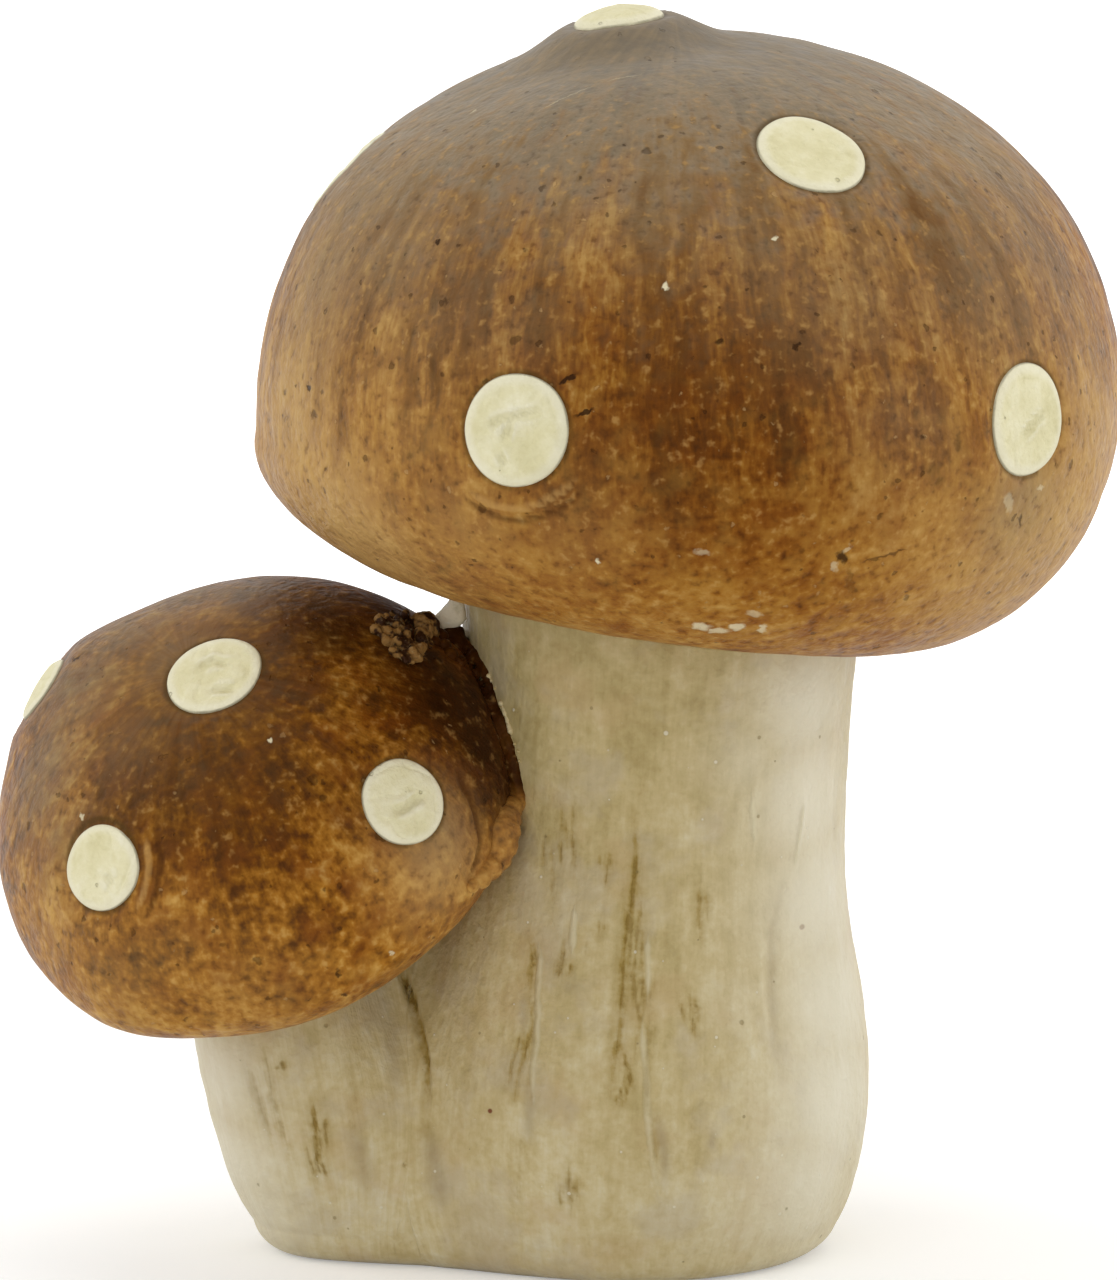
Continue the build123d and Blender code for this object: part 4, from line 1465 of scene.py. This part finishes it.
seamPlan = {  # blobs of lute as pixel and radius, edges as lines of pixels
    "collar": [((432, 626), 0.65), ((438, 624), 0.8), ((445, 619), 0.85), ((451, 611), 0.8),
               ((456, 603), 0.75), ((459, 611), 0.7), ((448, 627), 0.5), ((455, 620), 0.75),
               ((461, 618), 0.55)],
    "depth": -4.0,
    "edge": [(446, 632), (462, 639), (475, 653), (485, 671), (491, 690), (496, 706), (503, 726),
             (510, 748), (515, 768), (519, 790), (520, 806)],
    "edgeStep": 2.5,
    "edgeSize": (0.42, 0.62),
    "paleEdge": [(489, 676), (494, 686), (499, 698), (504, 711), (509, 726), (514, 741), (518, 752),
                 (520, 764)],
    "paleSize": (0.06, 0.34),
    "paleShare": 0.6,
    "crust": [((440, 637), 0.8), ((447, 633), 0.8), ((453, 637), 1.1), ((456, 645), 1.0),
              ((463, 638), 0.9), ((468, 649), 1.0), ((476, 657), 0.8), ((450, 655), 0.7),
              ((444, 646), 0.7), ((461, 662), 0.6), ((434, 642), 0.6), ((482, 668), 0.6),
              ((458, 632), 0.7)],
    "fold": [((514, 797), 0.7), ((511, 808), 1.1), ((506, 820), 1.5), ((503, 832), 1.75),
             ((501, 844), 1.75), ((497, 856), 1.5), ((490, 867), 1.3), ((481, 877), 1.0),
             ((472, 885), 0.7)],
    "foldTop": 45.0,
}


def edgeOf(path, size, rng):  # close-set blobs along a line of pixels
    blobs = []
    for start, end in zip(path, path[1:]):
        count = max(int(math.dist(start, end) / seamPlan["edgeStep"]), 1)
        for number in range(count):
            share = number / count
            blobs.append(([a + (b - a) * share for a, b in zip(start, end)], rng.uniform(*size)))
    return blobs


print("squeezing out the lute")
collar = [(atDepth(pixel, seamPlan["depth"]), radius) for pixel, radius in seamPlan["collar"]]
capBed = bedOfClay("tallCapLute", "large_cap_lute", collar, voxel=0.3, swell=0.1, ragged=0.14, seed=51)
points = readPoints(capBed)
storeValue(capBed, "tint", 0.5 + 0.4 * waves(points, 6, 52))
settle(capBed, palePaint, "lute_pale", "large_cap_lute")

smallBed = bedOfClay("smallCapLute", "small_cap_lute", voxel=0.3, swell=0.08, ragged=0.08, seed=53)
storeValue(smallBed, "tint", np.full(len(smallBed.data.vertices), 0.4))
settle(smallBed, palePaint, "lute_pale", "small_cap_lute")

stalkBed = bedOfClay("stalkSeamLute", "stalk_seam_lute", voxel=0.3, swell=-0.05, ragged=0.05, seed=54)
points = readPoints(stalkBed)
low = np.clip(1 - points[:, 2] / (1.4 * fusePlan["roundOver"]), 0, 1)
middle = (points[:, 1].min() + points[:, 1].max()) / 2
# kept in under the rounded foot
points[:, 1] = middle + (points[:, 1] - middle) * (1 - 0.7 * (1 - np.sqrt(1 - low ** 2)))
writePoints(stalkBed, points)
storeValue(stalkBed, "tint", np.full(len(stalkBed.data.vertices), 0.3))
settle(stalkBed, creasePaint, "lute_pale", "stalk_seam_lute")

beads = edgeOf(seamPlan["edge"], seamPlan["edgeSize"], random.Random(5))
beads = laidOn(beads, largeStalkTree, smallCapTree)
beads += laidOn(seamPlan["fold"] + seamPlan["crust"], smallCapTree, largeStalkTree)
capSeam = bedOfClay("capSeamLute", "cap_seam_lute", beads, voxel=0.2, swell=0.05, ragged=0.22, seed=55)
points = readPoints(capSeam)
top = np.clip((points[:, 2] - seamPlan["foldTop"]) / 2.5, 0, 1)
storeVector(capSeam, "flow", capFlow(points, smallCapPlan))
# the seam is darker at its top, under the tall cap: partly dark clay, partly painted shade
for key, values in (("burn", top), ("pale", 0.4 * (1 - top)), ("dust", 0 * top),
                    ("ridge", 0.5 * waves(points, 1.6, 56)), ("spotEdge", 0 * top + 9)):
    storeValue(capSeam, key, values)
settle(capSeam, smallCapPaint, "lute_pale", "cap_seam_lute")

# a thin unpainted line of it beside the brown
rng = random.Random(6)
beads = edgeOf(seamPlan["paleEdge"], seamPlan["paleSize"], rng)
beads = [bead for bead in beads if rng.random() < seamPlan["paleShare"]]
paleEdge = joinBalls(None, laidOn(beads, largeStalkTree))
paleEdge.name = "seamPaleEdge"
applyModifier(paleEdge, "REMESH", mode="VOXEL", voxel_size=0.12 * mm)
points = readPoints(paleEdge)
growSkin(paleEdge, points, uneven(points, 0.1, 1.0, 57, 2))
storeValue(paleEdge, "tint", 0.5 + 0.4 * waves(points, 3, 58))
settle(paleEdge, edgePaint, "lute_pale", "cap_seam_lute")


# crumbly lump at the top of the seam
lumpPlan = {
    "crumbs": 160,
    "size": (0.22, 0.6),
    # pixel, spread
    "patches": [((396, 625), (14, 8)), ((402, 643), (13, 13)), ((409, 656), (9, 9)), ((388, 632), (8, 10)),
                ((424, 638), (9, 9))],
    "scatter": (0.55, 0.5),
    "stand": (-0.35, 0.7),
    "core": 1.6,
    "voxel": 0.15,
    "ragged": 0.26,
}


def crumblyLump():
    rng = random.Random(8)
    across, down = lumpPlan["scatter"]
    crumbs = []
    for number in range(lumpPlan["crumbs"]):
        (x, y), (wide, high) = lumpPlan["patches"][number % len(lumpPlan["patches"])]
        pixel = (x + rng.gauss(0, across) * wide, y + rng.gauss(0, down) * high)
        place, normal = onPhoto(smallCapTree, pixel)
        if place is not None:
            crumbs.append((place + normal * rng.uniform(*lumpPlan["stand"]),
                           rng.uniform(*lumpPlan["size"])))
    low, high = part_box("joint_lump")
    crumbs.append(((np.array(low) + np.array(high)) / 2 / mm, lumpPlan["core"]))
    obj = joinBalls(None, crumbs)
    obj.name = "jointLump"
    applyModifier(obj, "REMESH", mode="VOXEL", voxel_size=lumpPlan["voxel"] * mm)
    points = readPoints(obj)
    crags = waves(points, 1.1, 61, 3)
    growSkin(obj, points, lumpPlan["ragged"] * crags)
    storeValue(obj, "tint", 0.5 - 0.9 * crags)  # the high places are pale
    return obj


lump = crumblyLump()
settle(lump, lumpPaint, "lump_brown", "joint_lump")


# pale floor and soft studio light
studio = {
    "floor": "f2f2f0",
    "lift": (0.3, 0.8),  # the floor's own white in the picture, near the object and far from it
    "liftReach": (0.12, 0.5),
    "aim": (0, 0, 0.06),
    "world": 0.55,
    "lamps": [  # name, place, size, watts
        ("topLamp", (0.05, 0.15, 0.95), 0.8, 2.6),
        ("rightLamp", (0.85, 0.05, 0.35), 0.6, 2.6),
        ("leftLamp", (-0.85, 0.1, 0.4), 0.6, 1.9),
        ("frontLamp", (-0.35, -1.1, 0.45), 0.9, 2.9),
    ],
}


def seenRays(tree):  # rays that show the stage itself, not the light it gives
    path = put(tree, "LightPath").outputs
    mirrored = calc(tree, "MAXIMUM", path["Is Glossy Ray"], path["Is Transmission Ray"])
    return calc(tree, "MAXIMUM", path["Is Camera Ray"], mirrored)


def addFloor():
    bpy.ops.object.select_all(action="DESELECT")
    bpy.ops.mesh.primitive_plane_add(size=8, location=(0, 1.5, 0))
    floor = bpy.context.object
    floor.name = "paleFloor"
    bpy.ops.object.transform_apply(location=True, rotation=True, scale=True)
    paint, tree, shader = startPaint("paleFloor")
    shader.inputs["Base Color"].default_value = colour(studio["floor"])
    shader.inputs["Roughness"].default_value = 0.8
    shader.inputs["Specular IOR Level"].default_value = 0.1
    shader.inputs["Emission Color"].default_value = (1, 1, 1, 1)
    far = lengthOf(tree, put(tree, "TexCoord").outputs["Object"])
    lift = eased(tree, far, *studio["liftReach"], *studio["lift"])
    tree.links.new(calc(tree, "MULTIPLY", seenRays(tree), lift), shader.inputs["Emission Strength"])
    floor.data.materials.append(paint)


def addWorld():
    world = bpy.data.worlds.new("softWhite")
    scene.world = world
    world.use_nodes = True
    tree = world.node_tree
    strength = put(tree, "MapRange", {0: seenRays(tree), 1: 0.0, 2: 1.0, 3: studio["world"],
                                      4: 1.0}).outputs[0]
    tree.nodes["Background"].inputs["Color"].default_value = (1, 1, 1, 1)
    tree.links.new(strength, tree.nodes["Background"].inputs["Strength"])


def addLamps():
    for name, place, size, watts in studio["lamps"]:
        aim = Vector(studio["aim"]) - Vector(place)
        bpy.ops.object.light_add(type="AREA", location=place,
                                 rotation=aim.to_track_quat("-Z", "Y").to_euler())
        lamp = bpy.context.object
        lamp.name = name
        lamp.data.size = size
        lamp.data.energy = watts


addFloor()
addWorld()
addLamps()
